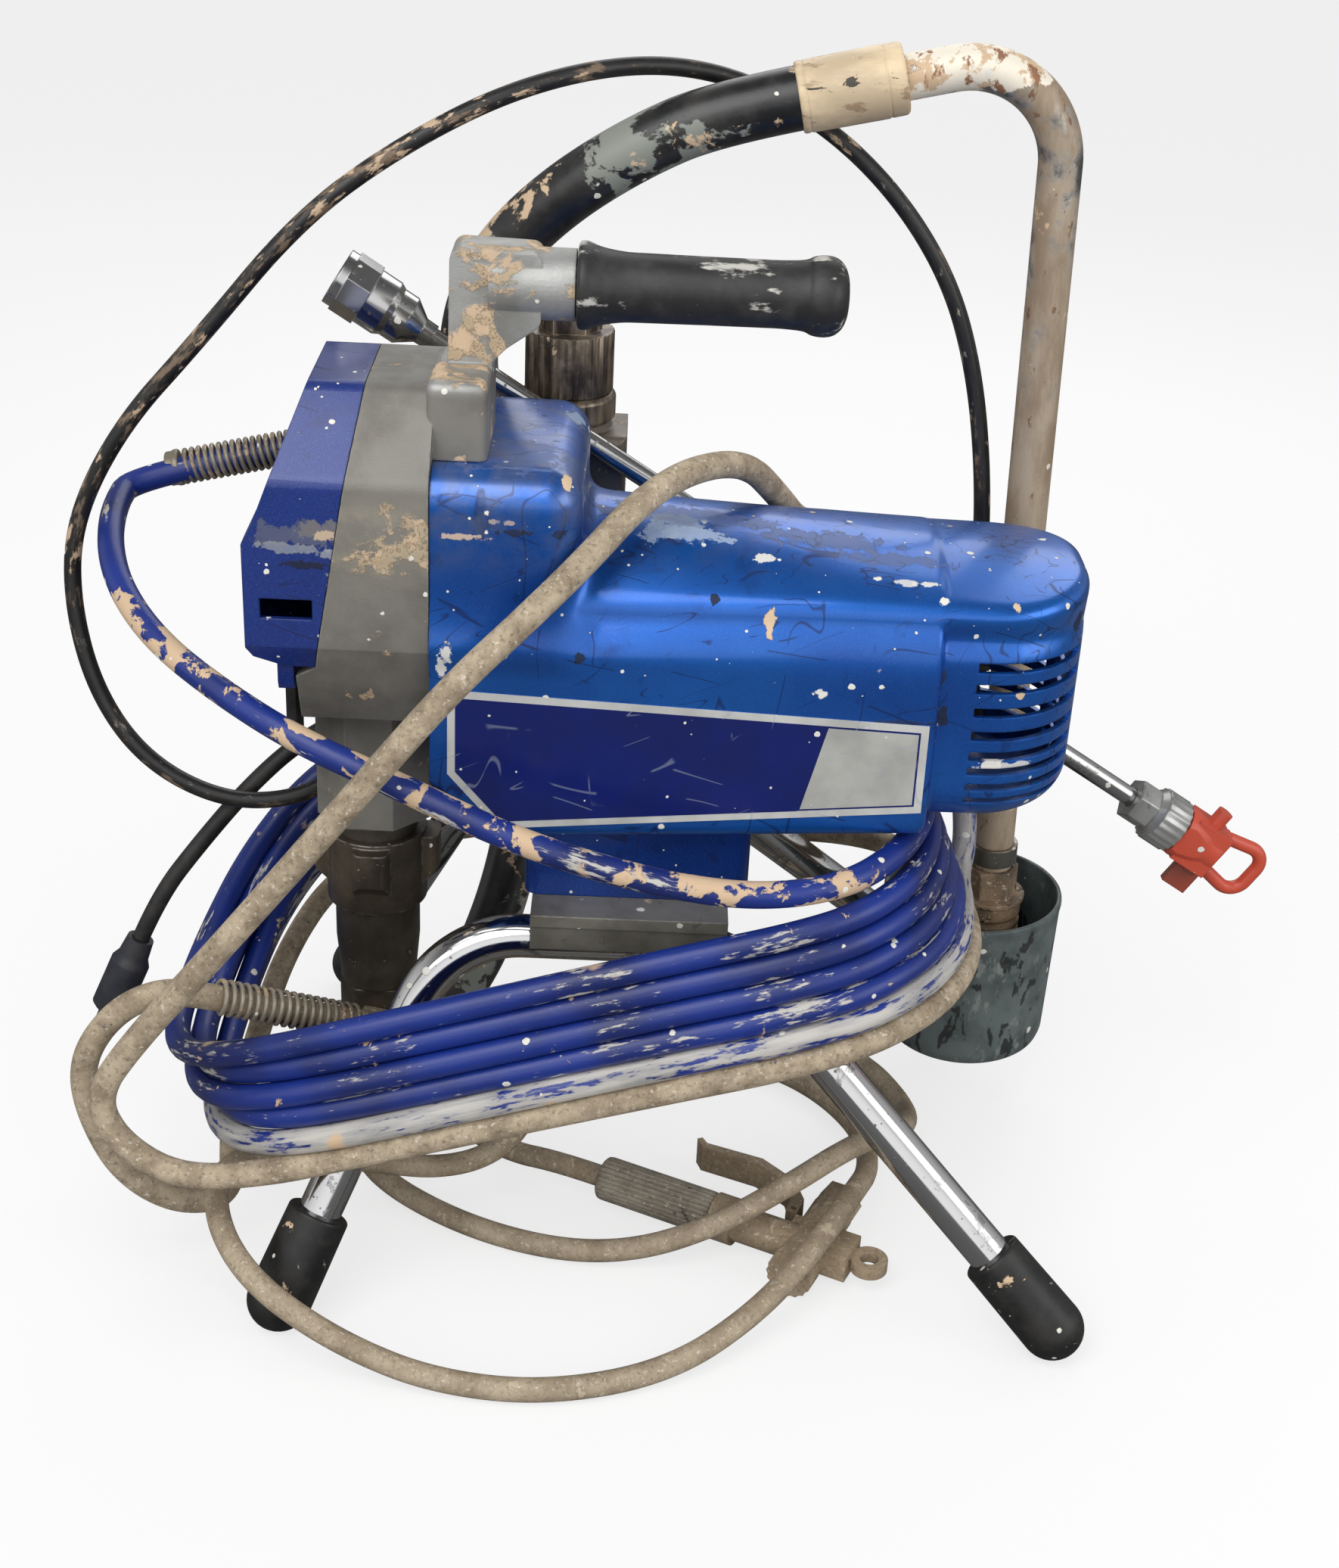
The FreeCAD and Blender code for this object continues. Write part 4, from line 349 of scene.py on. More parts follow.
def painted_shell(name, base, dark, metal, rough, splash, speck, wear=0.05, scuff=0.02, marks=(), dusty=None):
    """Metallic paint with crazing, scuffs, white flecks, tan splashes and marks at their own places."""
    c = colours()
    paint = Paint(name)
    shade = paint.noise(90.0, 3.0, 0.5)
    colour = paint.blend(shade.ramp(0.3, 0.75), base, dark)
    flake = paint.noise(0.5, 1.0, 0.5)
    colour = paint.blend(flake.ramp(0.5, 0.8) * 0.2, colour, srgb(96, 150, 226))
    dirt = splotches(paint, 26.0, 0.3, detail=8.0) * paint.noise(8.0, 4.0).ramp(0.4, 0.75)
    colour = paint.blend(dirt * 0.35, colour, srgb(12, 24, 62))
    lines = scratches(paint, wear)
    colour = paint.blend(lines * 0.65, colour, srgb(12, 28, 76))
    if dusty:
        level = paint.part_of(paint.spot, 2)
        settled = level.ramp(dusty[0] * MM, dusty[1] * MM) * paint.noise(14.0, 6.0, 0.6).ramp(0.36, 0.72)
        colour = paint.blend(settled * 0.6, colour, srgb(112, 122, 150))
    chalk = splotches(paint, 7.0, scuff, paint.stretched((1.0, 1.0, 2.6)), 8.0)
    colour = paint.blend(chalk * 0.6, colour, srgb(176, 186, 204))
    white = flecks(paint, 6.5, speck).most(flecks(paint, 3.0, speck * 0.8))
    white = white.most(flecks(paint, 17.0, speck * 0.4, ragged=0.4))
    colour = paint.blend(white, colour, c.fleck)
    drops = flecks(paint, 9.0, speck * 0.5, paint.moved(0.3, 0.1, 0.2))
    tan = splotches(paint, 15.0, splash).most(drops)
    colour = paint.blend(tan, colour, c.splash)
    rims = paint.edges(1.6).ramp(0.05, 0.3) * paint.noise(7.0, 4.0).ramp(0.5, 0.6)
    colour = paint.blend(rims * 0.75, colour, srgb(24, 26, 32))
    spots = white.most(tan).most(chalk)
    if marks:
        colour, placed = marks_over(paint, marks, colour)
        spots = spots.most(placed)
    shine = paint.noise(30.0, 4.0) * 0.2 + (rough - 0.1) + spots * 0.35 + lines * 0.15
    normal = paint.bump(spots * 0.4 - lines * 0.06 + paint.noise(2.2, 2.0) * 0.04, 0.5, paint.rounded(1.2))
    return paint.finish(colour, shine, (1.0 - spots) * metal, normal, (1.0 - spots) * 0.5, 0.15)


def cast_metal(name, base, dark, metal, rough, splash, speck, bare=0.5, grain=0.35, blob=24.0, marks=()):
    """Cast or machined metal: grainy, rubbed bare at its edges, with dried paint in blobs."""
    c = colours()
    paint = Paint(name)
    shade = paint.noise(45.0, 5.0, 0.6)
    colour = paint.blend(shade.ramp(0.35, 0.7), base, dark)
    grime = splotches(paint, 12.0, 0.22, detail=9.0)
    colour = paint.blend(grime * 0.3, colour, srgb(60, 52, 42))
    edge = paint.edges(1.5).ramp(0.03, 0.2) * paint.noise(5.0, 4.0).ramp(0.4, 0.55) * bare
    colour = paint.blend(edge, colour, srgb(176, 176, 172))
    tan = splotches(paint, blob, splash, detail=8.0)
    thin = splotches(paint, blob * 0.4, splash * 0.6, paint.moved(0.4, 0.1, 0.7), 8.0)
    tan = tan.most(thin * 0.8)
    wash = paint.noise(blob * 0.5, 6.0)
    colour = paint.blend(tan, colour, paint.blend(wash.ramp(0.3, 0.7), c.splash, srgb(170, 150, 124)))
    colour, white = flecked(paint, colour, 9.0, speck)
    spots = tan.most(white)
    if marks:
        colour, placed = marks_over(paint, marks, colour)
        spots = spots.most(placed)
    height = spots * 0.5 + paint.noise(1.1, 3.0, 0.7) * grain + shade * 0.4
    normal = paint.bump(height, 0.45, paint.rounded(1.0))
    shine = paint.noise(12.0, 4.0) * 0.25 + (rough - 0.12) + spots * 0.25 - edge * 0.12
    return paint.finish(colour, shine, (1.0 - spots) * metal + edge * 0.3, normal)


def bright_metal(name, base, rough, splash, speck=0.1, pits=0.25, rust=0.0):
    """Chrome or bright steel, with pits, grime and a few drops of paint."""
    paint = Paint(name)
    grime = splotches(paint, 14.0, 0.24, detail=9.0)
    colour = paint.blend(grime * 0.45, base, srgb(84, 80, 74))
    pit = flecks(paint, 3.2, pits)
    colour = paint.blend(pit * 0.7, colour, srgb(50, 44, 38))
    spots = pit * 0.4
    if rust:
        brown = splotches(paint, 16.0, rust, detail=9.0)
        colour = paint.blend(brown * 0.85, colour, srgb(122, 88, 64))
        spots = spots.most(brown)
    colour, tan = splashed(paint, colour, 13.0, splash)
    colour, white = flecked(paint, colour, 8.0, speck)
    spots = spots.most(tan).most(white)
    normal = paint.bump(spots * 0.4 + grime * 0.05, 0.3, paint.rounded(0.7))
    shine = paint.noise(20.0, 3.0) * 0.12 + (rough - 0.05) + grime * 0.16 + spots * 0.4
    return paint.finish(colour, shine, 1.0 - spots * 0.9, normal)


def rubber(name, base, rough=0.55, splash=0.04, speck=0.12, dust=0.3, gloss=0.0, grey=0.0, size=17.0):
    """Black rubber or dull plastic, dusty, with grey and tan dried paint."""
    paint = Paint(name)
    shade = paint.noise(16.0, 5.0, 0.6)
    colour = paint.blend(shade.ramp(0.35, 0.75) * dust, base, srgb(92, 88, 82))
    colour, spots = flecked(paint, colour, 7.0, speck)
    if grey:
        pale = splotches(paint, size * 1.2, grey, paint.moved(0.9, 0.3, 0.5), 8.0)
        colour = paint.blend(pale, colour, srgb(134, 138, 130))
        spots = spots.most(pale)
    colour, tan = splashed(paint, colour, size, splash)
    spots = spots.most(tan)
    shine = shade * 0.2 + (rough - 0.1) + spots * 0.15
    normal = paint.bump(spots * 0.5 + paint.noise(0.9, 2.0) * 0.12 + shade * 0.2, 0.5, paint.rounded(0.8))
    return paint.finish(colour, shine, 0.0, normal, gloss, 0.3)


def crusted(name, base, dark, size=9.0, chips=0.1, under=None):
    """Metal or hose under several coats of dried paint: lumpy, chipped and stained."""
    paint = Paint(name)
    shade = paint.noise(size * 3.0, 6.0, 0.65)
    colour = paint.blend(shade.ramp(0.3, 0.7), base, dark)
    grit = paint.noise(size * 0.25, 4.0, 0.7)
    colour = paint.blend(grit.ramp(0.48, 0.74) * 0.6, colour, srgb(96, 84, 70))
    pale = splotches(paint, size * 1.6, 0.2, detail=8.0)
    colour = paint.blend(pale * 0.6, colour, srgb(206, 190, 164))
    speck = paint.noise(size * 0.32, 5.0, 0.7, paint.moved(0.2, 0.6, 0.4))
    colour = paint.blend(speck.ramp(0.58, 0.66) * 0.75, colour, srgb(216, 206, 188))
    chip = splotches(paint, size * 0.8, chips, paint.moved(0.5, 0.8, 0.2), 8.0)
    colour = paint.blend(chip, colour, under or srgb(64, 58, 50))
    normal = paint.bump(grit * 0.5 + shade * 0.8 - chip * 0.4 + pale * 0.3, 0.6, paint.rounded(1.0))
    return paint.finish(colour, shade * 0.25 + 0.45, 0.0, normal)


# Meshes
NEARLY_UPRIGHT = 0.98
FLUTE_FADE_R = 8.0
# Angles in degrees. Of a node's copy, faces that meet flatter than the first are joined and edges above the
# second are rounded. The others say below which an edge is shaded smooth.
JOIN_BELOW = 0.6
ROUND_ABOVE = 24.0
NODE_SMOOTH = 28.0
SMOOTH_BELOW = 35.0
HOSE_SMOOTH = 80.0
SHROUD_SMOOTH = 30.0


def shown(name, data):
    """A new object of the scene."""
    piece = bpy.data.objects.new(name, data)
    bpy.context.scene.collection.objects.link(piece)
    return piece


def new_piece(name, points, faces, material, smooth=SMOOTH_BELOW):
    """A mesh object from points in metres; edges sharper than an angle stay sharp."""
    mesh = bpy.data.meshes.new(name)
    mesh.from_pydata(np.asarray(points).tolist(), [], faces)
    mesh.validate()
    outwards(mesh)
    return shaded(shown(name, mesh), material, smooth)


def outwards(mesh):
    """Merge doubles and turn the faces outwards."""
    work = bmesh.new()
    work.from_mesh(mesh)
    bmesh.ops.remove_doubles(work, verts=work.verts, dist=2e-6)
    bmesh.ops.recalc_face_normals(work, faces=work.faces)
    work.to_mesh(mesh)
    work.free()


def shaded(piece, material, smooth):
    piece.data.materials.clear()
    piece.data.materials.append(material)
    piece.data.shade_smooth()
    piece.data.set_sharp_from_angle(angle=math.radians(smooth))
    return piece


def tube_faces(rows, columns):
    """Quads between the points of rings that are stored one after the other, and a flat face at each end."""
    r, c = np.meshgrid(np.arange(rows - 1), np.arange(columns), indexing="ij")
    on = (c + 1) % columns
    quads = np.stack([r * columns + c, r * columns + on, (r + 1) * columns + on, (r + 1) * columns + c], -1)
    last = (rows - 1) * columns
    return quads.reshape(-1, 4).tolist() + [list(range(columns))[::-1], list(range(last, last + columns))]


def frame_of(aim):
    """Two directions square to an aim and to each other."""
    aim = unit(aim)
    up = (1.0, 0.0, 0.0) if abs(aim[2]) > NEARLY_UPRIGHT else (0.0, 0.0, 1.0)
    side = unit(np.cross(up, aim))
    return side, np.cross(aim, side)


def turned(name, profile, start, aim, material, count=72, flutes=0, depth=0.0, smooth=SMOOTH_BELOW):
    """A profile of (along, radius) in millimetres turned about an axis: along * aim + radius * (cos, sin).

    Flutes are grooves along it, as deep as depth, that fade out where the radius is below FLUTE_FADE_R.
    """
    profile = np.asarray(profile, dtype=float)
    side, up = frame_of(aim)
    angle = np.linspace(0, 2 * np.pi, count, endpoint=False)
    spokes = np.cos(angle)[:, None] * side + np.sin(angle)[:, None] * up
    groove = depth * np.clip(np.cos(angle * flutes), 0, 1)
    radius = profile[:, 1, None]
    radius = np.maximum(radius - groove * np.minimum(radius / FLUTE_FADE_R, 1), 0)
    rings = np.asarray(start) + profile[:, None, :1] * unit(aim) + radius[:, :, None] * spokes
    return new_piece(name, place(rings).reshape(-1, 3), tube_faces(*radius.shape), material, smooth)


def eased(profile, radius, steps=4):
    """The same open profile with each inner corner as a small curve that starts a radius before it."""
    profile = np.asarray(profile, dtype=float)
    before = profile[:-2] - profile[1:-1]
    after = profile[2:] - profile[1:-1]
    reach_a = np.minimum(radius, np.linalg.norm(before, axis=1) * 0.45)
    reach_b = np.minimum(radius, np.linalg.norm(after, axis=1) * 0.45)
    a = profile[1:-1] + before / np.linalg.norm(before, axis=1)[:, None] * reach_a[:, None]
    b = profile[1:-1] + after / np.linalg.norm(after, axis=1)[:, None] * reach_b[:, None]
    t = np.linspace(0, 1, steps)[None, :, None]
    curve = (1 - t) ** 2 * a[:, None] + 2 * t * (1 - t) * profile[1:-1][:, None] + t ** 2 * b[:, None]
    return np.concatenate([profile[:1], curve.reshape(-1, profile.shape[1]), profile[-1:]])


def carried(path):
    """Two cross directions along a path, turned as little as possible from point to point."""
    aims = np.gradient(path, axis=0)
    aims /= np.linalg.norm(aims, axis=1)[:, None]
    side, _ = frame_of(aims[0])
    sides = np.empty_like(path)
    for i, aim in enumerate(aims):
        side = side - aim * np.dot(side, aim)
        side /= np.linalg.norm(side)
        sides[i] = side
    return sides, np.cross(aims, sides)


def hose_surface(name, path, radius, material, count=20):
    """A round skin of a radius about a path in metres; its UV map holds metres along and metres around."""
    sides, ups = carried(path)
    angle = np.linspace(0, 2 * np.pi, count, endpoint=False)[:, None]
    rings = path[:, None] + radius * (np.cos(angle) * sides[:, None] + np.sin(angle) * ups[:, None])
    mesh = bpy.data.meshes.new(name)
    mesh.from_pydata(rings.reshape(-1, 3).tolist(), [], tube_faces(len(path), count))
    run = np.concatenate([[0], np.cumsum(np.linalg.norm(np.diff(path, axis=0), axis=1))])
    r, c = np.meshgrid(np.arange(len(path) - 1), np.arange(count), indexing="ij")
    around = 2 * np.pi * radius / count
    ends = ((0, 0), (0, 1), (1, 1), (1, 0))
    corners = np.stack([np.stack([run[r + i], (c + k) * around], -1) for i, k in ends], axis=2)
    flat = np.concatenate([corners.reshape(-1, 2), np.zeros((2 * count, 2))])
    layer = mesh.uv_layers.new(name="along")
    layer.data.foreach_set("uv", flat.astype(np.float32).ravel())
    return shaded(shown(name, mesh), material, HOSE_SMOOTH)


def spline_path(points):
    """Points along the smooth spline that has points, in metres, as its controls, and its length."""
    curve = bpy.data.curves.new("route", "CURVE")
    curve.dimensions = "3D"
    curve.resolution_u = 12
    spline = curve.splines.new("NURBS")
    spline.points.add(len(points) - 1)
    spline.points.foreach_set("co", np.column_stack([points, np.ones(len(points))]).ravel())
    spline.order_u = 3
    spline.use_endpoint_u = True
    holder = bpy.data.objects.new("route", curve)
    line = bpy.data.meshes.new_from_object(holder)
    found = np.empty(len(line.vertices) * 3)
    line.vertices.foreach_get("co", found)
    found = found.reshape(-1, 3)
    bpy.data.meshes.remove(line)
    bpy.data.objects.remove(holder)
    bpy.data.curves.remove(curve)
    return found, float(np.linalg.norm(np.diff(found, axis=0), axis=1).sum())


def bent(points, radius, steps=14):
    """A line through points whose corners are arcs of a radius, in millimetres."""
    points = np.asarray(points, dtype=float)
    line = [points[0]]
    for before, corner, after in zip(points[:-2], points[1:-1], points[2:]):
        back, on = unit(before - corner), unit(after - corner)
        half = math.acos(np.dot(back, on)) / 2
        centre = corner + unit(back + on) * radius / math.sin(half)
        start = corner + back * radius / math.tan(half) - centre
        end = corner + on * radius / math.tan(half) - centre
        turn = math.pi - 2 * half
        for t in np.linspace(0, 1, steps):
            spoke = math.sin((1 - t) * turn) * start + math.sin(t * turn) * end
            line.append(centre + spoke / math.sin(turn))
    line.append(points[-1])
    return np.array(line)


def wound_wire(name, start, end, turns, material):
    """A spring of round wire: start + t * (end - start) + ring(2 pi turns t) * SPRING_R."""
    side, up = frame_of(end - start)
    t = np.linspace(0, 1, turns * 16 + 1)[:, None]
    angle = 2 * np.pi * turns * t
    spots = start + t * (end - start) + SPRING_R * (np.cos(angle) * side + np.sin(angle) * up)
    return hose_surface(name, place(spots), SPRING_WIRE_R * MM, material, 8)


def plate(name, outline, y, thickness, material):
    """A thin plate on the near side: an outline of (x, z) that reaches from y towards the viewer."""
    count = len(outline)
    points = [(x, y, z) for x, z in outline] + [(x, y - thickness, z) for x, z in outline]
    faces = [list(range(count)), list(range(2 * count - 1, count - 1, -1))]
    faces += [(i, (i + 1) % count, count + (i + 1) % count, count + i) for i in range(count)]
    return new_piece(name, place(points), faces, material)


def inset(outline, gap):
    """The same outline with every side moved inwards by a gap."""
    spots = np.asarray(outline, dtype=float)
    ahead = np.roll(spots, -1, axis=0) - spots
    ahead /= np.linalg.norm(ahead, axis=1)[:, None]
    inward = np.stack([ahead[:, 1], -ahead[:, 0]], axis=1)
    found = []
    for i in range(len(spots)):
        a, b = spots[i - 1] + inward[i - 1] * gap, spots[i] + inward[i] * gap
        u, v = ahead[i - 1], ahead[i]
        t = ((b[0] - a[0]) * v[1] - (b[1] - a[1]) * v[0]) / (u[0] * v[1] - u[1] * v[0])
        found.append(a + u * t)
    return np.array(found)


def from_node(node, material, edge=None, steps=2, below=None):
    """A copy of a frame node's mesh with its doubles merged, its flat faces joined and its edges rounded.

    below, a (point, normal) in millimetres, leaves only what lies behind that plane.
    """
    mesh = frame["nodes"][node].data.copy()
    work = bmesh.new()
    work.from_mesh(mesh)
    bmesh.ops.remove_doubles(work, verts=work.verts, dist=3e-6)
    if below:
        every = work.verts[:] + work.edges[:] + work.faces[:]
        bmesh.ops.bisect_plane(work, geom=every, plane_co=tuple(place(below[0])), plane_no=tuple(below[1]),
                               clear_outer=True)
        bmesh.ops.holes_fill(work, edges=[e for e in work.edges if e.is_boundary])
    if edge:
        bmesh.ops.dissolve_limit(work, angle_limit=math.radians(JOIN_BELOW), verts=work.verts,
                                 edges=work.edges)
    work.to_mesh(mesh)
    work.free()
    piece = shown(node + "_skin", mesh)
    if edge:
        bevel = piece.modifiers.new("Edges", "BEVEL")
        bevel.width = edge * MM
        bevel.segments = steps
        bevel.limit_method = "ANGLE"
        bevel.angle_limit = math.radians(ROUND_ABOVE)
        bevel.use_clamp_overlap = True
    return standing(shaded(piece, material, NODE_SMOOTH), node)


BODIES = {node: body for body, nodes in frame["record"]["behaviour"]["bodies"].items() for node in nodes}


def standing(piece, *nodes):
    """Let a piece ride with the nodes that it stands for, in their place."""
    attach(piece, BODIES[nodes[0]])
    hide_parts(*nodes)
    return piece


def give(material, *nodes):
    """Let nodes that are right as they are show a finish."""
    for node in nodes:
        mesh = frame["nodes"][node].data
        mesh.materials.clear()
        mesh.materials.append(material)


# Hoses and cords. Routes are those of the shop drawing, in millimetres.
STRAND_STEP = 14.4
COIL_TURNS = 5
TURN_POINTS = 24
LEAD_LENGTH = 643.0
TURN_LENGTH = 1054.0
BLUE_END = LEAD_LENGTH + COIL_TURNS * TURN_LENGTH + 4.0
# Where a strand passes: its point, heading, the side on which the next strand lies in degrees, how far it has
# climbed towards that strand, how near the strands lie there, and how far they weave in and out
COIL_STATIONS = (
    ((112, 0, 226), (0, 1, 0), 294, 0.0, 12.8, 0.0),
    ((60, 112, 208), (-1, 0, -0.05), 284, 0.0, 13.0, 1.5),
    ((-140, 126, 190), (-1, -0.1, -0.3), 278, 0.0, 12.6, 2.0),
    ((-236, -20, 108), (0, -1, 0), 242, 0.0, 9.6, 4.6),
    ((-150, -102.5, 153.5), (1, 0, 0.3), 281, 0.3, 12.2, 1.2),
    ((50, -96.5, 215.5), (1, 0.05, 0.25), 281, 0.7, 12.3, 0.0),
)
MIDDLE_STRAND = 2
TAIL_STATIONS = (4, 9)
# From the coil to the points before and after it, and before and after the strand of the tail
COIL_EXIT = np.array([0.0, 26.0, 0.0])
TAIL_ENTRY = -28 * unit((1.0, 0.0, 0.3))
TAIL_EXIT = np.array([0.0, -22.0, 0.0])
LEAD_AIM = unit((-0.976, -0.064, -0.208))
OUTLET = np.array([-178.0, 92.0, 350.0]) + 8 * LEAD_AIM
LEAD_ROUTE = [
    OUTLET, OUTLET + 81 * LEAD_AIM, (-268, 57, 327), (-263, 22, 320), (-252, -4, 309), (-232, -28, 297),
    (-203, -50, 286), (-166, -75, 276), (-120, -86, 261), (-68, -97, 242), (-15, -98, 227),
    (32, -97, 220), (72, -86, 221), (99, -58, 224), (112, -26, 226),
]
RUN_ROUTE = [
    (147, 56, 173), (143, 86, 204), (137, 104, 252), (134, 108, 300), (112, 99, 316), (82, 90, 319),
    (53, 76, 326), (40, 50, 349), (23, 23, 374), (-2, -6, 380), (-24, -34, 374), (-44, -60, 358),
    (-68, -79, 338), (-96, -94, 314), (-130, -104, 274), (-161, -108, 235), (-200, -108, 185),
    (-236, -108, 140), (-254, -110, 112), (-244, -114, 90), (-216, -120, 76),
]
GUARD_START = np.array([-204.0, -76.0, 145.0])
GUARD_END = np.array([-143.0, -55.0, 120.0])
GUARD_AIM = unit(GUARD_END - GUARD_START)
TAIL_ROUTE = [
    (-204, -68, 26), (-228, -84, 34), (-250, -92, 58), (-262, -93, 90), (-264, -93, 118),
    (-250, -91, 142), (-232, -86, 152), GUARD_START - 13 * GUARD_AIM, GUARD_END,
]
GUN_START = np.array([-28.0, -23.0, 12.0])
GUN_AIM = unit((0.90, -0.434, 0.0))
WHIP_START = GUARD_END + 21 * GUARD_AIM
WHIP_ROUTE = [
    WHIP_START, WHIP_START + 26 * GUARD_AIM, (-77, -33, 94), (-64, -29, 73), (-67, -30, 48),
    (-84, -35, 31), (-108, -42, 28), (-136, -46, 33), (-164, -50, 39), (-190, -56, 44), (-207, -72, 47),
    (-206, -102, 48), (-193, -132, 45), (-172, -151, 36), (-138, -159, 17), (-98, -167, 6),
    (-48, -172, 6), (6, -156, 7), (46, -126, 17), (74, -94, 31), (94, -55, 33), (106, -18, 19),
    (107, 30, 7), (86, 68, 6), (54, 92, 6), (8, 102, 6), (-50, 98, 6), (-104, 80, 6), (-142, 50, 6),
    (-156, 14, 6), (-142, -22, 6), (-98, -56, 6), (-50, -74, 6), (-10, -77, 10), (28, -74, 25),
    (62, -64, 43), (90, -42, 49), (113, -12, 38), (130, 22, 19), (130, 60, 6), (114, 94, 6), (80, 122, 6),
    (34, 138, 6), (-18, 136, 7), (-66, 120, 16), (-100, 92, 21), (-114, 56, 16), (-102, 22, 8),
    (-76, 0, 8), GUN_START - 25 * GUN_AIM, GUN_START,
]
DRAIN_ROUTE = [
    (-77.5, 100, 319), (-77.5, 100, 292), (-84, 90, 262), (-106, 70, 243), (-134, 50, 226),
    (-156, 34, 208), (-181, 20, 196), (-216, 15, 196), (-252, 18, 214), (-275, 25, 246), (-285, 33, 288),
    (-282, 38, 327), (-258, 40, 372), (-222, 43, 412), (-177, 48, 466), (-133, 58, 498), (-83, 76, 522),
    (-31, 98, 531), (14, 111, 524), (56, 112, 503), (90, 107, 474), (116, 103, 438), (131, 101, 398),
    (140, 98, 352), (144, 95, 306), (147, 92, 252),
]
CORD_ROUTE = [
    (-44, 105, 250), (-66, 105, 250), (-96, 92, 245), (-128, 70, 238), (-158, 50, 229), (-184, 37, 217),
    (-207, 28, 196), (-229, 19, 170), (-248, 11, 145), (-258, 8, 122),
]
SPRING_R = 7.5
SPRING_WIRE_R = 1.15
SPRING_GAP = 1.4
LEAD_SPRING_END = 57.0
LEAD_SPRING_TURNS = 17
TAIL_SPRING_TURNS = 18
COLLAR_PROFILE = (
    (57.6, 6.1), (57.6, 8.2), (58.2, 8.7), (60, 8.7), (61, 8.2), (63.6, 8.2), (64.2, 7.6), (64.2, 6.1),
)
NUT_PROFILE = ((0, 0), (0, 6.4), (0.6, 8.2), (11.4, 8.2), (12, 6.4), (12, 0))
STEM_PROFILE = ((11, 0), (11, 6.5), (20.4, 6.5), (21, 6.0), (21, 0))


def coil_points(first, last, slot):
    """Points along strands between counted stations: cubic curves that follow the stations' headings."""
    spots = []
    aims = []
    base = slot
    for i in range(first, last + 1):
        which = i % len(COIL_STATIONS)
        if which == 0 and i > first:
            base += 1
        spot, heading, fall, climb, pitch, weave = COIL_STATIONS[which]
        level = unit((heading[0], heading[1], 0))
        step = np.array([level[1], -level[0], 0]) * math.cos(math.radians(fall))
        step = step + np.array([0, 0, 1]) * math.sin(math.radians(fall))
        reach = (base + climb) * pitch + MIDDLE_STRAND * (STRAND_STEP - pitch)
        spots.append(np.array(spot) + step * reach + np.cross(step, unit(heading)) * weave * (-1) ** base)
        aims.append(unit(heading))
    spots, aims = np.array(spots), np.array(aims)
    a, b, u, v = spots[:-1, None], spots[1:, None], aims[:-1, None], aims[1:, None]
    chord = np.linalg.norm(b - a, axis=2, keepdims=True)
    turn = np.arccos(np.clip((u * v).sum(axis=2, keepdims=True), -1, 1))
    reach = chord * (4 * np.tan(turn / 4) / np.maximum(2 * np.sin(turn / 2), 1e-6))
    leaving, coming = a + u * reach / 3, b - v * reach / 3
    t = np.arange(0, 1, len(COIL_STATIONS) / TURN_POINTS)[None, :, None]
    s = 1 - t
    curve = s ** 3 * a + 3 * t * s ** 2 * leaving + 3 * t ** 2 * s * coming + t ** 3 * b
    return list(curve.reshape(-1, 3)) + [spots[-1]]


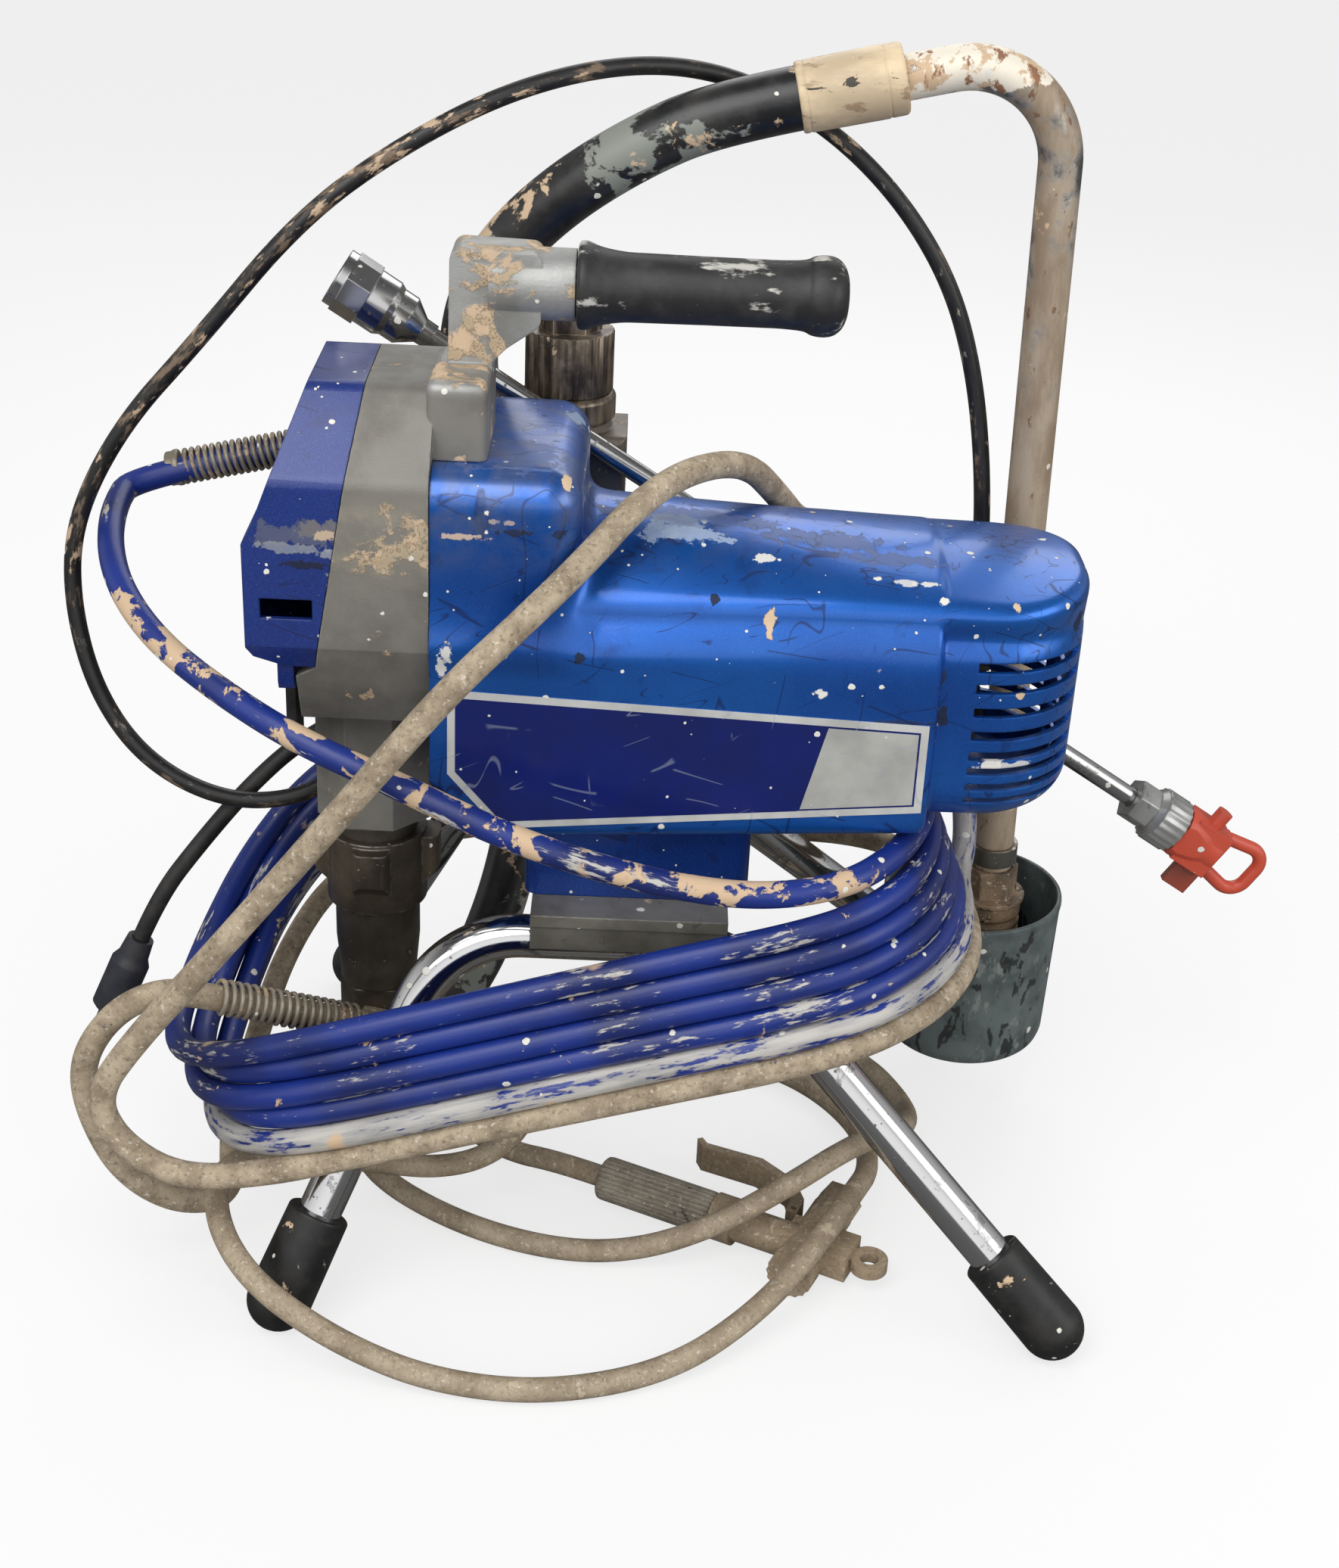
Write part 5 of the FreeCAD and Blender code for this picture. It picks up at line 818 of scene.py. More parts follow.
def hose_finish():
    """The long hose: blue with white wear on its outer coils, then the beige length under dried paint."""
    c = colours()
    paint = Paint("spray_hose_finish")
    along = paint.attribute("along")
    run = paint.part_of(along, 0)
    beige = run.ramp(BLUE_END * MM, (BLUE_END + 8) * MM)
    # The last two turns come in, in shares of a turn
    low, last = [run.ramp((LEAD_LENGTH + start * TURN_LENGTH) * MM, (LEAD_LENGTH + end * TURN_LENGTH) * MM)
                 for start, end in ((3.4, 4.3), (4.3, 4.45))]
    streak = paint.noise(7.0, 5.0, 0.6, paint.stretched((0.14, 1.0, 1.0), spot=along))
    fine = paint.noise(2.0, 4.0, 0.6, paint.stretched((0.25, 1.0, 1.0), spot=along))
    patch = paint.noise(60.0, 3.0, 0.55)
    base = paint.blend(patch.ramp(0.35, 0.65), c.hose_blue, srgb(14, 32, 96))
    rub = (streak * 0.6 + fine * 0.4 + patch * 0.35 + low * 0.085 + last * 0.075).ramp(0.74, 0.8)
    worn = paint.blend(streak.ramp(0.35, 0.65), srgb(158, 156, 152), srgb(206, 202, 192))
    colour = paint.blend(rub * 0.88, base, worn)
    lead = run.ramp(0.13, 0.18) * (1.0 - run.ramp(0.5, 0.6))
    cloud = paint.noise(17.0, 7.0, 0.62, paint.moved(0.3, 0.3, 0.1), 0.35)
    crust = (cloud + lead * 0.15).ramp(0.66, 0.685)
    crust = crust.most((patch + low * 0.06).ramp(0.66, 0.7) * streak.ramp(0.42, 0.5))
    colour = paint.blend(crust, colour, c.splash)
    colour, white = flecked(paint, colour, 8.0, 0.14)
    shade = paint.noise(14.0, 6.0, 0.65)
    grit = paint.noise(2.4, 4.0, 0.7)
    old = paint.blend(shade.ramp(0.36, 0.66), c.hose_tan, srgb(142, 127, 106))
    old = paint.blend(grit.ramp(0.5, 0.72) * 0.7, old, srgb(92, 80, 64))
    speck = paint.noise(2.6, 5.0, 0.7, paint.moved(0.2, 0.6, 0.4))
    old = paint.blend(speck.ramp(0.58, 0.66) * 0.75, old, srgb(216, 206, 188))
    blue_left = splotches(paint, 11.0, 0.05, paint.moved(0.7, 0.2, 0.4), 6.0)
    old = paint.blend(blue_left * 0.8, old, srgb(44, 54, 96))
    colour = paint.blend(beige, colour, old)
    weave = paint.cells(1.5, paint.stretched((0.6, 1.0, 1.0), spot=along))
    spots = crust.most(white)
    height = spots * 0.3 + (rub * 0.12 + weave * 0.12) * (1.0 - beige) + (grit * 0.6 + shade * 0.5) * beige
    shine = 0.36 + streak * 0.2 + rub * 0.25 + spots * 0.2 + beige * 0.2
    return paint.finish(colour, shine, 0.0, paint.bump(height, 0.5), (1.0 - beige.most(spots)) * 0.25, 0.3)


def drain_finish():
    """Black tube with long tan and brown smears of dried paint, most of them on its left half."""
    paint = Paint("drain_finish")
    along = paint.attribute("along")
    run = paint.part_of(along, 0)
    worn = run.ramp(0.3, 0.42) * (1.0 - run.ramp(0.62, 0.8))
    smear = paint.noise(6.0, 7.0, 0.66, paint.stretched((0.3, 1.0, 1.0), spot=along))
    patch = paint.noise(34.0, 4.0, 0.55)
    colour = paint.blend(smear.ramp(0.35, 0.7) * 0.5, srgb(20, 20, 21), srgb(58, 54, 50))
    brown = (smear + worn * 0.07).ramp(0.58, 0.66)
    colour = paint.blend(brown * 0.85, colour, srgb(120, 100, 80))
    pale = paint.noise(5.0, 6.0, 0.66, paint.stretched((0.35, 1.0, 1.0), (0.3, 0.5, 0.2), along))
    colour = paint.blend(pale.ramp(0.6, 0.66) * 0.7, colour, srgb(138, 134, 128))
    tan = (pale * 0.6 + patch * 0.45 + worn * 0.06).ramp(0.625, 0.66)
    colour = paint.blend(tan, colour, srgb(190, 164, 136))
    colour, white = flecked(paint, colour, 7.0, 0.08)
    spots = tan.most(white).most(brown * 0.6)
    normal = paint.bump(spots * 0.4 + smear * 0.2, 0.4)
    return paint.finish(colour, 0.34 + smear * 0.2 + spots * 0.2, 0.0, normal, 0.15, 0.3)


class SPRAYER_OT_hoses(bpy.types.Operator):
    """Lay the spray hose, its whip, the drain tube and the power cord"""

    bl_idname = "sprayer.hoses"
    bl_label = "Hoses and cord"

    def execute(self, context):
        size = sizes()
        c = colours()
        coil = coil_points(0, len(COIL_STATIONS) * COIL_TURNS, 0)
        tail = coil_points(*TAIL_STATIONS, COIL_TURNS)
        route = LEAD_ROUTE + coil + [coil[-1] + COIL_EXIT] + RUN_ROUTE
        route += [tail[0] + TAIL_ENTRY] + tail + [tail[-1] + TAIL_EXIT] + TAIL_ROUTE
        path, length = spline_path(place(route))
        hose = hose_surface("spray_hose", path, size.hose / 2, hose_finish())
        standing(hose, "hose_lead", "hose_coil", "hose_run", "tail_coil", "hose_tail")
        guards = cast_metal("guard_spring_finish", srgb(180, 170, 154), srgb(128, 118, 102), 0.4, 0.4, 0.3,
                            0.1, 0.5, 0.1, 9.0)
        brassy = crusted("coupling_finish", srgb(140, 126, 100), srgb(96, 88, 74), 6.0, 0.12)
        ends = OUTLET + SPRING_GAP * LEAD_AIM, OUTLET + LEAD_SPRING_END * LEAD_AIM
        lead_spring = wound_wire("lead_spring", *ends, LEAD_SPRING_TURNS, guards)
        ends = GUARD_START, GUARD_END - SPRING_GAP * GUARD_AIM
        tail_spring = wound_wire("tail_spring", *ends, TAIL_SPRING_TURNS, guards)
        lead_collar = turned("lead_collar", eased(COLLAR_PROFILE, 0.4), OUTLET, LEAD_AIM, guards, 48)
        tail_nut = turned("tail_nut", NUT_PROFILE, GUARD_END, GUARD_AIM, brassy, 6)
        stem = turned("tail_stem", eased(STEM_PROFILE, 0.5), GUARD_END, GUARD_AIM, brassy, 40)
        springs = [standing(piece, "lead_guard") for piece in (lead_spring, lead_collar)]
        springs += [standing(piece, "tail_guard") for piece in (tail_spring, tail_nut, stem)]

        crust = crusted("whip_finish", c.hose_tan, srgb(146, 130, 108), 7.0, 0.04)
        path, length = spline_path(place(WHIP_ROUTE))
        whip = standing(hose_surface("whip", path, size.whip / 2, crust), "whip_hose")

        path, length = spline_path(place(DRAIN_ROUTE))
        drain = standing(hose_surface("drain", path, size.drain / 2, drain_finish(), 16), "drain_tube")

        jacket = rubber("cord_finish", srgb(20, 20, 21), 0.5, 0.02, 0.08, 0.3)
        path, length = spline_path(place(CORD_ROUTE))
        cord = standing(hose_surface("cord", path, size.cord / 2, jacket, 16), "power_cord")
        plug = from_node("power_plug", rubber("plug_finish", srgb(30, 33, 44), 0.5, 0.03, 0.1, 0.3), edge=0.8)
        return {"FINISHED"}


# Stand
LEG_R = 10.0
LEG_BEND = 52.0
LEG_START = 8.0
LEG_TOP_Z = 169.0
LEG_CORNERS_X = (-103.0, 25.0)
LEG_FEET_X = (-173.0, 182.0)
STAND_MID_Y = 18.0
LEG_TOP_HALF = 70.0
LEG_FOOT_HALF = 144.0
FOOT_R = 15.0
FOOT_LENGTH = 44.0


class SPRAYER_OT_stand(bpy.types.Operator):
    """Bend the two chromed arches, and set their rubber boots and the saddle on them"""

    bl_idname = "sprayer.stand"
    bl_label = "Stand"

    def execute(self, context):
        chrome = bright_metal("chrome_finish", srgb(205, 205, 206), 0.1, 0.05, 0.1, 0.3)
        boot_rubber = rubber("boot_finish", srgb(17, 18, 19), 0.45, 0.1, 0.18, 0.2, grey=0.08, size=9.0)
        ball = np.linspace(0, np.pi / 2, 12)
        profile = list(zip(-FOOT_R * np.cos(ball), FOOT_R * np.sin(ball)))
        profile += eased([(1, FOOT_R), (FOOT_LENGTH - 1, FOOT_R - 0.6), (FOOT_LENGTH, FOOT_R - 1.4),
                          (FOOT_LENGTH, LEG_R + 0.1)], 0.8).tolist()
        for side, name in ((-1, "near"), (1, "far")):
            top_y = STAND_MID_Y + side * LEG_TOP_HALF
            corners = [np.array((x, top_y, LEG_TOP_Z)) for x in LEG_CORNERS_X]
            feet = [np.array((x, STAND_MID_Y + side * LEG_FOOT_HALF, FOOT_R)) for x in LEG_FEET_X]
            ends = []
            for number, (foot, corner) in enumerate(zip(feet, corners)):
                up = unit(corner - foot)
                ends.append(foot + LEG_START * up)
                boot = turned(f"boot_{name}_{number}", profile, foot, up, boot_rubber, 72)
                standing(boot, "rubber_feet")
            line = bent([ends[0], *corners, ends[1]], LEG_BEND, 24)
            arch = hose_surface(f"arch_{name}", place(line), LEG_R * MM, chrome, 48)
            standing(arch, f"frame_tube_{name}")
        grey = cast_metal("saddle_finish", srgb(146, 143, 132), srgb(104, 100, 90), 0.35, 0.42, 0.08, 0.1)
        from_node("saddle_bracket", grey, edge=1.0)
        from_node("frame_bolts", bright_metal("bolt_finish", srgb(160, 156, 146), 0.3, 0.05), edge=0.5)
        return {"FINISHED"}


# Shroud of the motor, as the edge of a form that is blended from three forms
SHROUD_FRONT_X = -110.0
PANEL_END_X = 108.0
SHROUD_REAR_X = 175.0
SHROUD_HALF = 62.0
SHROUD_LOW = (222.0, 237.5)
CHIN_TOP_Z = 250.0
CHIN_RISE = 28.0
CHIN_RUN = 24.0
CHIN_LENGTH = 36.9
CREASE_Z = (319.0, 311.0)
CREST_Z = (368.0, 345.0)
SHOULDER_X = (-50.0, 60.0)
SHOULDER_Z = (333.5, 339.5)
SHOULDER_HALF = 55.0
UPPER_BOX_X = -47.0
UPPER_BOX_TOP = 391.0
UPPER_BOX_HALF = 60.0
UPPER_BOX_EDGE = 15.0
DRUM_HALF = 56.0
DRUM_BOTTOM = 236.0
DRUM_CORNER = 46.0
DRUM_LOWER_EDGE = 20.0
GROOVE_DEPTH = 3.5
GROOVE_Z = 326.0
GROOVE_SPREAD = 6.5
# How softly the forms meet
ROOF_BLEND = 14.0
SIDE_BLEND = 2.0
RIM_BLEND = 7.0
CHIN_BLEND = 3.0
PANEL_BLEND = 4.0
BOX_BLEND = 12.0
BOX_SUNK = 5.0
DRUM_BLEND = 3.0
RAY_Z = 300.0
RAY_REACH = (2.0, 150.0)
HALVINGS = 34
SHROUD_COLUMNS = 232
# Where the rings stand along X: from, to and how many, closer together at the steps
STATIONS = (
    (SHROUD_FRONT_X, -68, 8), (-66, -52, 15), (-51.5, -44, 31), (-43, -30, 12), (-24, 88, 20), (92, 106, 15),
    (106.5, 112, 20), (113, 129, 7),
)
DRUM_TURN = (8.0, 89.4, 26)
# The top of each vent and its width
VENTS = (
    (316.0, 4.4), (306.2, 4.4), (295.0, 4.4), (283.8, 4.4), (274.0, 4.2), (266.2, 3.6), (258.4, 3.4),
    (251.2, 3.0),
)
VENT_START_X = 124.0
VENT_REAR_X = 164.0
VENT_INNER = 27.0
REAR_VENT_Y = (4.0, 21.0)
# Between these heights the dust on the roof sets in
DUST_Z = (340.0, 372.0)


def most(a, b, soft):
    """The larger of two fields, blended where they are close: max + (soft - |a - b|)^2 / (4 soft)."""
    return np.maximum(a, b) + np.maximum(soft - np.abs(a - b), 0) ** 2 / (4 * soft)


def least(a, b, soft):
    return -most(-a, -b, soft)


def rounded_corner(a, b, radius):
    """Distance to a corner between two faces at right angles that is rounded to a radius."""
    out = np.hypot(np.maximum(a + radius, 0), np.maximum(b + radius, 0))
    return out + np.minimum(np.maximum(a + radius, b + radius), 0) - radius


def shroud_field(x, y, z):
    """Below zero inside the shroud: body with arched roof and slanted facet, the taller box, and the drum."""
    share = (x - SHROUD_FRONT_X) / (SHROUD_REAR_X - SHROUD_FRONT_X)
    crease = CREASE_Z[0] + (CREASE_Z[1] - CREASE_Z[0]) * share
    crest = CREST_Z[0] + (CREST_Z[1] - CREST_Z[0]) * share
    low = SHROUD_LOW[0] + (SHROUD_LOW[1] - SHROUD_LOW[0]) * share
    shoulder = np.interp(x, SHOULDER_X, SHOULDER_Z)
    side = np.abs(y)
    rise = crest - shoulder
    slope = 2 * rise * side / SHOULDER_HALF ** 2
    roof = (z - crest + rise * (side / SHOULDER_HALF) ** 2) / np.hypot(1, slope)
    lean = SHROUD_HALF - SHOULDER_HALF
    drop = shoulder - crease
    facet = ((side - SHROUD_HALF) * drop + (z - crease) * lean) / np.hypot(drop, lean)
    chin = ((SHROUD_FRONT_X - x) * CHIN_RISE + (CHIN_TOP_Z - z) * CHIN_RUN) / CHIN_LENGTH
    body = most(most(roof, facet, ROOF_BLEND), side - SHROUD_HALF, SIDE_BLEND)
    body = most(body, low - z, RIM_BLEND)
    body = most(body, chin, CHIN_BLEND)
    body = most(body, x - PANEL_END_X, PANEL_BLEND)
    box = rounded_corner(x - UPPER_BOX_X, side - UPPER_BOX_HALF, UPPER_BOX_EDGE)
    box = rounded_corner(box, z - UPPER_BOX_TOP, UPPER_BOX_EDGE)
    box = most(box, CREASE_Z[0] - BOX_SUNK - z, BOX_SUNK)
    groove = GROOVE_DEPTH * np.exp(-((z - GROOVE_Z) / GROOVE_SPREAD) ** 2)
    plan = rounded_corner(x - SHROUD_REAR_X, side - DRUM_HALF + groove, DRUM_CORNER)
    drum = most(rounded_corner(plan, DRUM_BOTTOM - z, DRUM_LOWER_EDGE), roof, RIM_BLEND)
    return least(least(body, box, BOX_BLEND), drum, DRUM_BLEND)


def shroud_rings(columns):
    """Points where rays from the line y = 0, z = RAY_Z leave the form, found by halving their reach."""
    bend = np.radians(np.linspace(*DRUM_TURN))
    x = [np.linspace(*part) for part in STATIONS] + [SHROUD_REAR_X - DRUM_CORNER + DRUM_CORNER * np.sin(bend)]
    angle = np.linspace(0, 2 * np.pi, columns, endpoint=False)
    x, angle = np.meshgrid(np.concatenate(x), angle, indexing="ij")
    near, far = [np.full(x.shape, reach) for reach in RAY_REACH]
    for _ in range(HALVINGS):
        reach = (near + far) / 2
        inside = shroud_field(x, reach * np.cos(angle), RAY_Z + reach * np.sin(angle)) < 0
        near = np.where(inside, reach, near)
        far = np.where(inside, far, reach)
    return np.stack([x, near * np.cos(angle), RAY_Z + near * np.sin(angle)], axis=-1)


def block(low, high):
    """Corners and faces of a box between two corners."""
    points = [(x, y, z) for x in (low[0], high[0]) for y in (low[1], high[1]) for z in (low[2], high[2])]
    return points, [(0, 1, 3, 2), (4, 6, 7, 5), (0, 4, 5, 1), (2, 3, 7, 6), (0, 2, 6, 4), (1, 5, 7, 3)]


def cut_out(piece, boxes):
    """Cut boxes out of a piece, with its other modifiers applied."""
    points, faces = [], []
    for low, high in boxes:
        spots, sides = block(low, high)
        faces += [tuple(len(points) + i for i in side) for side in sides]
        points += spots
    cutter = new_piece(piece.name + "_cutter", place(points), faces, piece.data.materials[0])
    cut = piece.modifiers.new("Cut", "BOOLEAN")
    cut.object = cutter
    cut.solver = "EXACT"
    whole = bpy.data.meshes.new_from_object(piece.evaluated_get(bpy.context.evaluated_depsgraph_get()))
    piece.modifiers.clear()
    piece.data = whole
    bpy.data.objects.remove(cutter)
    return piece


LABEL_OUTLINE = ((-102.3, 295.9), (104.7, 288.5), (104.9, 246.4), (-80.0, 230.0), (-102.3, 255.9))
LABEL_SLANT = ((60.7, 288.9), (49.8, 241.5))
LABEL_RIM = 3.4
# Width of the painted shade line round the silver field, where the blue ground shows
LABEL_SHADE_LINE = 0.9
LABEL_SUNK = 0.3
# How thick the rim is, its blue ground and the fields on it
LABEL_STEPS = (0.75, 0.85, 0.95)


class SPRAYER_OT_shroud(bpy.types.Operator):
    """Form the vented motor shroud, its blank label panel and the lower housing"""

    bl_idname = "sprayer.shroud"
    bl_label = "Motor shroud"

    def execute(self, context):
        size = sizes()
        paint = painted_shell("shroud_finish", colours().shroud, srgb(18, 80, 172), 0.66, 0.36, 0.004, 0.1,
                              0.11, 0.006, SHROUD_MARKS, DUST_Z)
        rings = shroud_rings(SHROUD_COLUMNS)
        faces = tube_faces(*rings.shape[:2])
        # The front stays open
        faces.pop(-2)
        shell = new_piece("shroud", place(rings.reshape(-1, 3)), faces, paint, SHROUD_SMOOTH)
        wall = shell.modifiers.new("Wall", "SOLIDIFY")
        wall.thickness = size.shell
        wall.offset = -1.0
        boxes = []
        slots = (VENT_START_X, VENT_INNER, DRUM_HALF + 5), (VENT_REAR_X, *REAR_VENT_Y)
        for (high, width), side, (start, inner, outer) in itertools.product(VENTS, (-1, 1), slots):
            ys = sorted((side * inner, side * outer))
            boxes.append(((start, ys[0], high - width), (SHROUD_REAR_X + 3, ys[1], high)))
        cut_out(shell, boxes)
        shaded(shell, paint, SHROUD_SMOOTH)
        standing(shell, "motor_shroud")

        pale = painted_label("label_rim", srgb(206, 207, 204), 0.35)
        silver = painted_label("label_silver", srgb(184, 184, 179), 0.4)
        blue = painted_label("label_blue", srgb(5, 26, 106), 0.25)
        y = LABEL_SUNK - SHROUD_HALF
        field = inset(LABEL_OUTLINE, LABEL_RIM)
        rim = plate("label_rim", LABEL_OUTLINE, y, LABEL_STEPS[0], pale)
        shade = plate("label_shade", field, y, LABEL_STEPS[1], blue)
        head, foot = LABEL_SLANT
        share = (field[1][0] - head[0]) / (field[1][0] - field[0][0])
        top = field[1] + (field[0] - field[1]) * share
        slope = (foot[0] - head[0]) / (foot[1] - head[1])
        low = foot[1] + LABEL_RIM
        foot = (head[0] + slope * (low - head[1]), low)
        panel = plate("label_field", [field[0], top, foot, *field[3:]], y, LABEL_STEPS[2], blue)
        # The silver field sits inset, so that the blue ground shows round it as a painted shade line
        end = plate("label_end", inset([top, *field[1:3], foot], LABEL_SHADE_LINE), y, LABEL_STEPS[2], silver)
        for piece in (rim, shade, panel, end):
            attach(piece, "machine")
        base = painted_shell("base_finish", srgb(20, 66, 156), srgb(14, 46, 120), 0.4, 0.36, 0.02, 0.1)
        from_node("base_housing", base, edge=1.6, steps=3)
        return {"FINISHED"}


def painted_label(name, base, rough):
    """Printed film with fine scratches, flecks and a little tan paint."""
    c = colours()
    paint = Paint(name)
    shade = paint.noise(30.0, 4.0)
    deep = tuple(0.72 * part for part in base)
    colour = paint.blend(shade.ramp(0.35, 0.7), base, deep)
    lines = scratches(paint, 0.01)
    colour = paint.blend(lines * 0.4, colour, srgb(150, 160, 180))
    white = flecks(paint, 6.0, 0.06).most(flecks(paint, 3.0, 0.05))
    colour = paint.blend(white, colour, c.fleck)
    colour, tan = splashed(paint, colour, 12.0, 0.02, detail=6.0)
    spots = white.most(tan)
    shine = shade * 0.15 + (rough + 0.05) + spots * 0.4
    return paint.finish(colour, shine, 0.1, paint.bump(spots * 0.4 + lines * 0.1, 0.3), 0.25, 0.15)


# Drive housing and handle
GRIP_AXIS = (0, 0, 456)
GRIP_PROFILE = (
    (-53.6, 8.2), (-53.6, 18.2), (-49.2, 18.4), (-44, 16.0), (-34, 14.4), (0, 14.1), (32, 14.0), (42, 14.6),
    (45, 16.4), (50, 17.0), (54.5, 16.2), (58, 13.2), (60, 8.0), (60.2, 0),
)
COVER_MARKS = (
    ((-164, -58, 363), (22, 14, 7), srgb(92, 96, 112), 0.7),
    ((-150, -58, 365), (18, 12, 5), srgb(122, 118, 112), 0.65), ((-153, -60, 363), (5, 6, 3), TAN, 0.7),
    ((-167, -60, 357), (16, 8, 2.6), srgb(150, 156, 160), 0.6),
    # The second mark on the next line, black at (-162, -61, 350), is painted shade: a flat dark window for
    # the shadowed recess low on the front cover
    ((-151, -60, 355), (8, 6, 2.4), srgb(164, 168, 170), 0.6), ((-162, -61, 350), (10, 4, 2), BLACK, 0.8),
    ((-178, -50, 404), (6, 8, 2), BLACK, 0.8), ((-150, -60, 342), (3, 4, 5), srgb(150, 160, 180), 0.6),
)


class SPRAYER_OT_head(bpy.types.Operator):
    """Dress the drive housing, its front cover, and the carrying handle with its rubber grip"""

    bl_idname = "sprayer.head"
    bl_label = "Drive housing and handle"

    def execute(self, context):
        from_node("drive_housing", housing_finish(), edge=2.2, steps=3)
        cover = painted_shell("cover_finish", colours().cover, srgb(14, 32, 100), 0.12, 0.42, 0.012, 0.13,
                              marks=COVER_MARKS)
        from_node("front_cover", cover, edge=2.4, steps=3)
        from_node("rubber_flap", rubber("flap_finish", srgb(26, 26, 27), 0.6), edge=0.8)
        grip = turned("grip", eased(GRIP_PROFILE, 4.0, 6), GRIP_AXIS, (1, 0, 0), grip_finish(), 96)
        standing(grip, "handle_grip")
        return {"FINISHED"}


def housing_finish():
    """Grey paint over a casting, with a tan belt of dried paint, and the bare arm of the handle."""
    c = colours()
    paint = Paint("housing_finish")
    level = paint.part_of(paint.spot, 2)
    shade = paint.noise(40.0, 6.0, 0.6)
    grain = paint.noise(1.2, 3.0, 0.7)
    colour = paint.blend(shade.ramp(0.35, 0.7), c.casting, srgb(104, 101, 95))
    arm = level.ramp(0.417, 0.424)
    bare = paint.blend(shade.ramp(0.35, 0.7), srgb(184, 184, 182), srgb(142, 142, 138))
    colour = paint.blend(arm, colour, bare)
    belt = level.ramp(0.338, 0.35) * (1.0 - level.ramp(0.37, 0.385))
    thick = paint.noise(20.0, 8.0, 0.62, bend=0.4) + belt * 0.09 + arm * 0.1
    tan = thick.ramp(0.62, 0.66)
    wash = paint.noise(9.0, 6.0)
    colour = paint.blend(tan * 0.9, colour, paint.blend(wash.ramp(0.35, 0.65), c.splash, srgb(172, 152, 122)))
    haze = belt * paint.noise(10.0, 7.0, 0.6).ramp(0.4, 0.7)
    colour = paint.blend(haze * 0.55, colour, srgb(168, 160, 142))
    crack = (1.0 - abs(paint.noise(9.0, 5.0, 0.7) - 0.5).ramp(0.0, 0.012)) * tan
    colour = paint.blend(crack * 0.7, colour, srgb(92, 78, 62))
    edge = paint.edges(1.5).ramp(0.03, 0.2) * paint.noise(5.0, 4.0).ramp(0.42, 0.55)
    colour = paint.blend(edge * 0.6, colour, srgb(186, 186, 180))
    colour, white = flecked(paint, colour, 6.0, 0.1)
    spots = tan.most(white)
    normal = paint.bump(spots * 0.5 + grain * 0.3 - crack * 0.3 + shade * 0.3, 0.5, paint.rounded(1.2))
    shine = 0.42 + paint.noise(12.0, 4.0) * 0.2 + spots * 0.2 - edge * 0.1
    return paint.finish(colour, shine, (1.0 - spots) * (arm * 0.4 + 0.2), normal)


def grip_finish():
    """Black rubber with long white scuffs and tan smears."""
    c = colours()
    paint = Paint("grip_finish")
    shade = paint.noise(12.0, 5.0, 0.6)
    colour = paint.blend(shade.ramp(0.4, 0.75) * 0.3, c.rubber, srgb(84, 82, 78))
    spot = paint.stretched((0.35, 1.0, 1.0))
    scuff = paint.noise(5.0, 8.0, 0.7, spot) * 0.6 + paint.noise(22.0, 3.0, 0.5) * 0.5
    along = paint.part_of(paint.spot, 0)
    upper = paint.part_of(paint.spot, 2).ramp(0.458, 0.47) * along.ramp(-0.04, 0.02)
    scuff = (scuff + upper * 0.07).ramp(0.59, 0.65)
    colour = paint.blend(scuff * 0.8, colour, srgb(206, 204, 196))
    colour, tan = splashed(paint, colour, 14.0, 0.07, paint.stretched((0.5, 1.0, 1.0)))
    spots = scuff.most(tan)
    normal = paint.bump(spots * 0.35 + shade * 0.2 + paint.noise(0.8, 2.0) * 0.15, 0.5)
    return paint.finish(colour, shade * 0.2 + 0.4 + spots * 0.15, 0.0, normal, 0.1, 0.35)


NUT_MARKS = (
    ((-119, -26, 200), (5, 8, 7), WHITE, 0.9), ((-121, -24, 206), (5, 6, 2), WHITE, 0.8),
)


class SPRAYER_OT_pump(bpy.types.Operator):
    """Dress the pump's tube, its eared nut, the intake and the inlet elbow"""

    bl_idname = "sprayer.pump"
    bl_label = "Pump"

    def execute(self, context):
        steel = cast_metal("pump_finish", srgb(104, 98, 88), srgb(66, 60, 52), 0.5, 0.34, 0.08, 0.05, 0.7,
                           0.15, 12.0)
        dark = cast_metal("nut_finish", srgb(98, 88, 74), srgb(58, 52, 44), 0.45, 0.36, 0.1, 0.05, 0.8, 0.15,
                          12.0, NUT_MARKS)
        for node, edge in (("pump_cylinder", 0.6), ("intake_housing", 0.8)):
            from_node(node, steel, edge=edge)
        for node, edge in (("clamp_nut", 1.4), ("inlet_elbow", 0.9), ("packing_nut", 0.5)):
            from_node(node, dark, edge=edge)
        return {"FINISHED"}


class SPRAYER_OT_fluid(bpy.types.Operator):
    """Dress the manifold, the knurled filter cap, the valve and the fittings"""

    bl_idname = "sprayer.fluid"
    bl_label = "Manifold and filter"

    def execute(self, context):
        body = cast_metal("manifold_finish", srgb(128, 120, 108), srgb(88, 80, 70), 0.5, 0.4, 0.2, 0.08, 0.6,
                          0.25, 18.0)
        nickel = nickel_finish()
        from_node("fluid_manifold", body, edge=1.2, steps=3)
        from_node("filter_collar", nickel, edge=0.8)
        from_node("filter_cap", nickel, edge=0.35)
        from_node("prime_valve", rubber("valve_finish", srgb(26, 26, 27), 0.45, 0.06), edge=0.8)
        from_node("fluid_fittings", bright_metal("fitting_finish", srgb(170, 164, 150), 0.28, 0.14), edge=0.6)
        return {"FINISHED"}


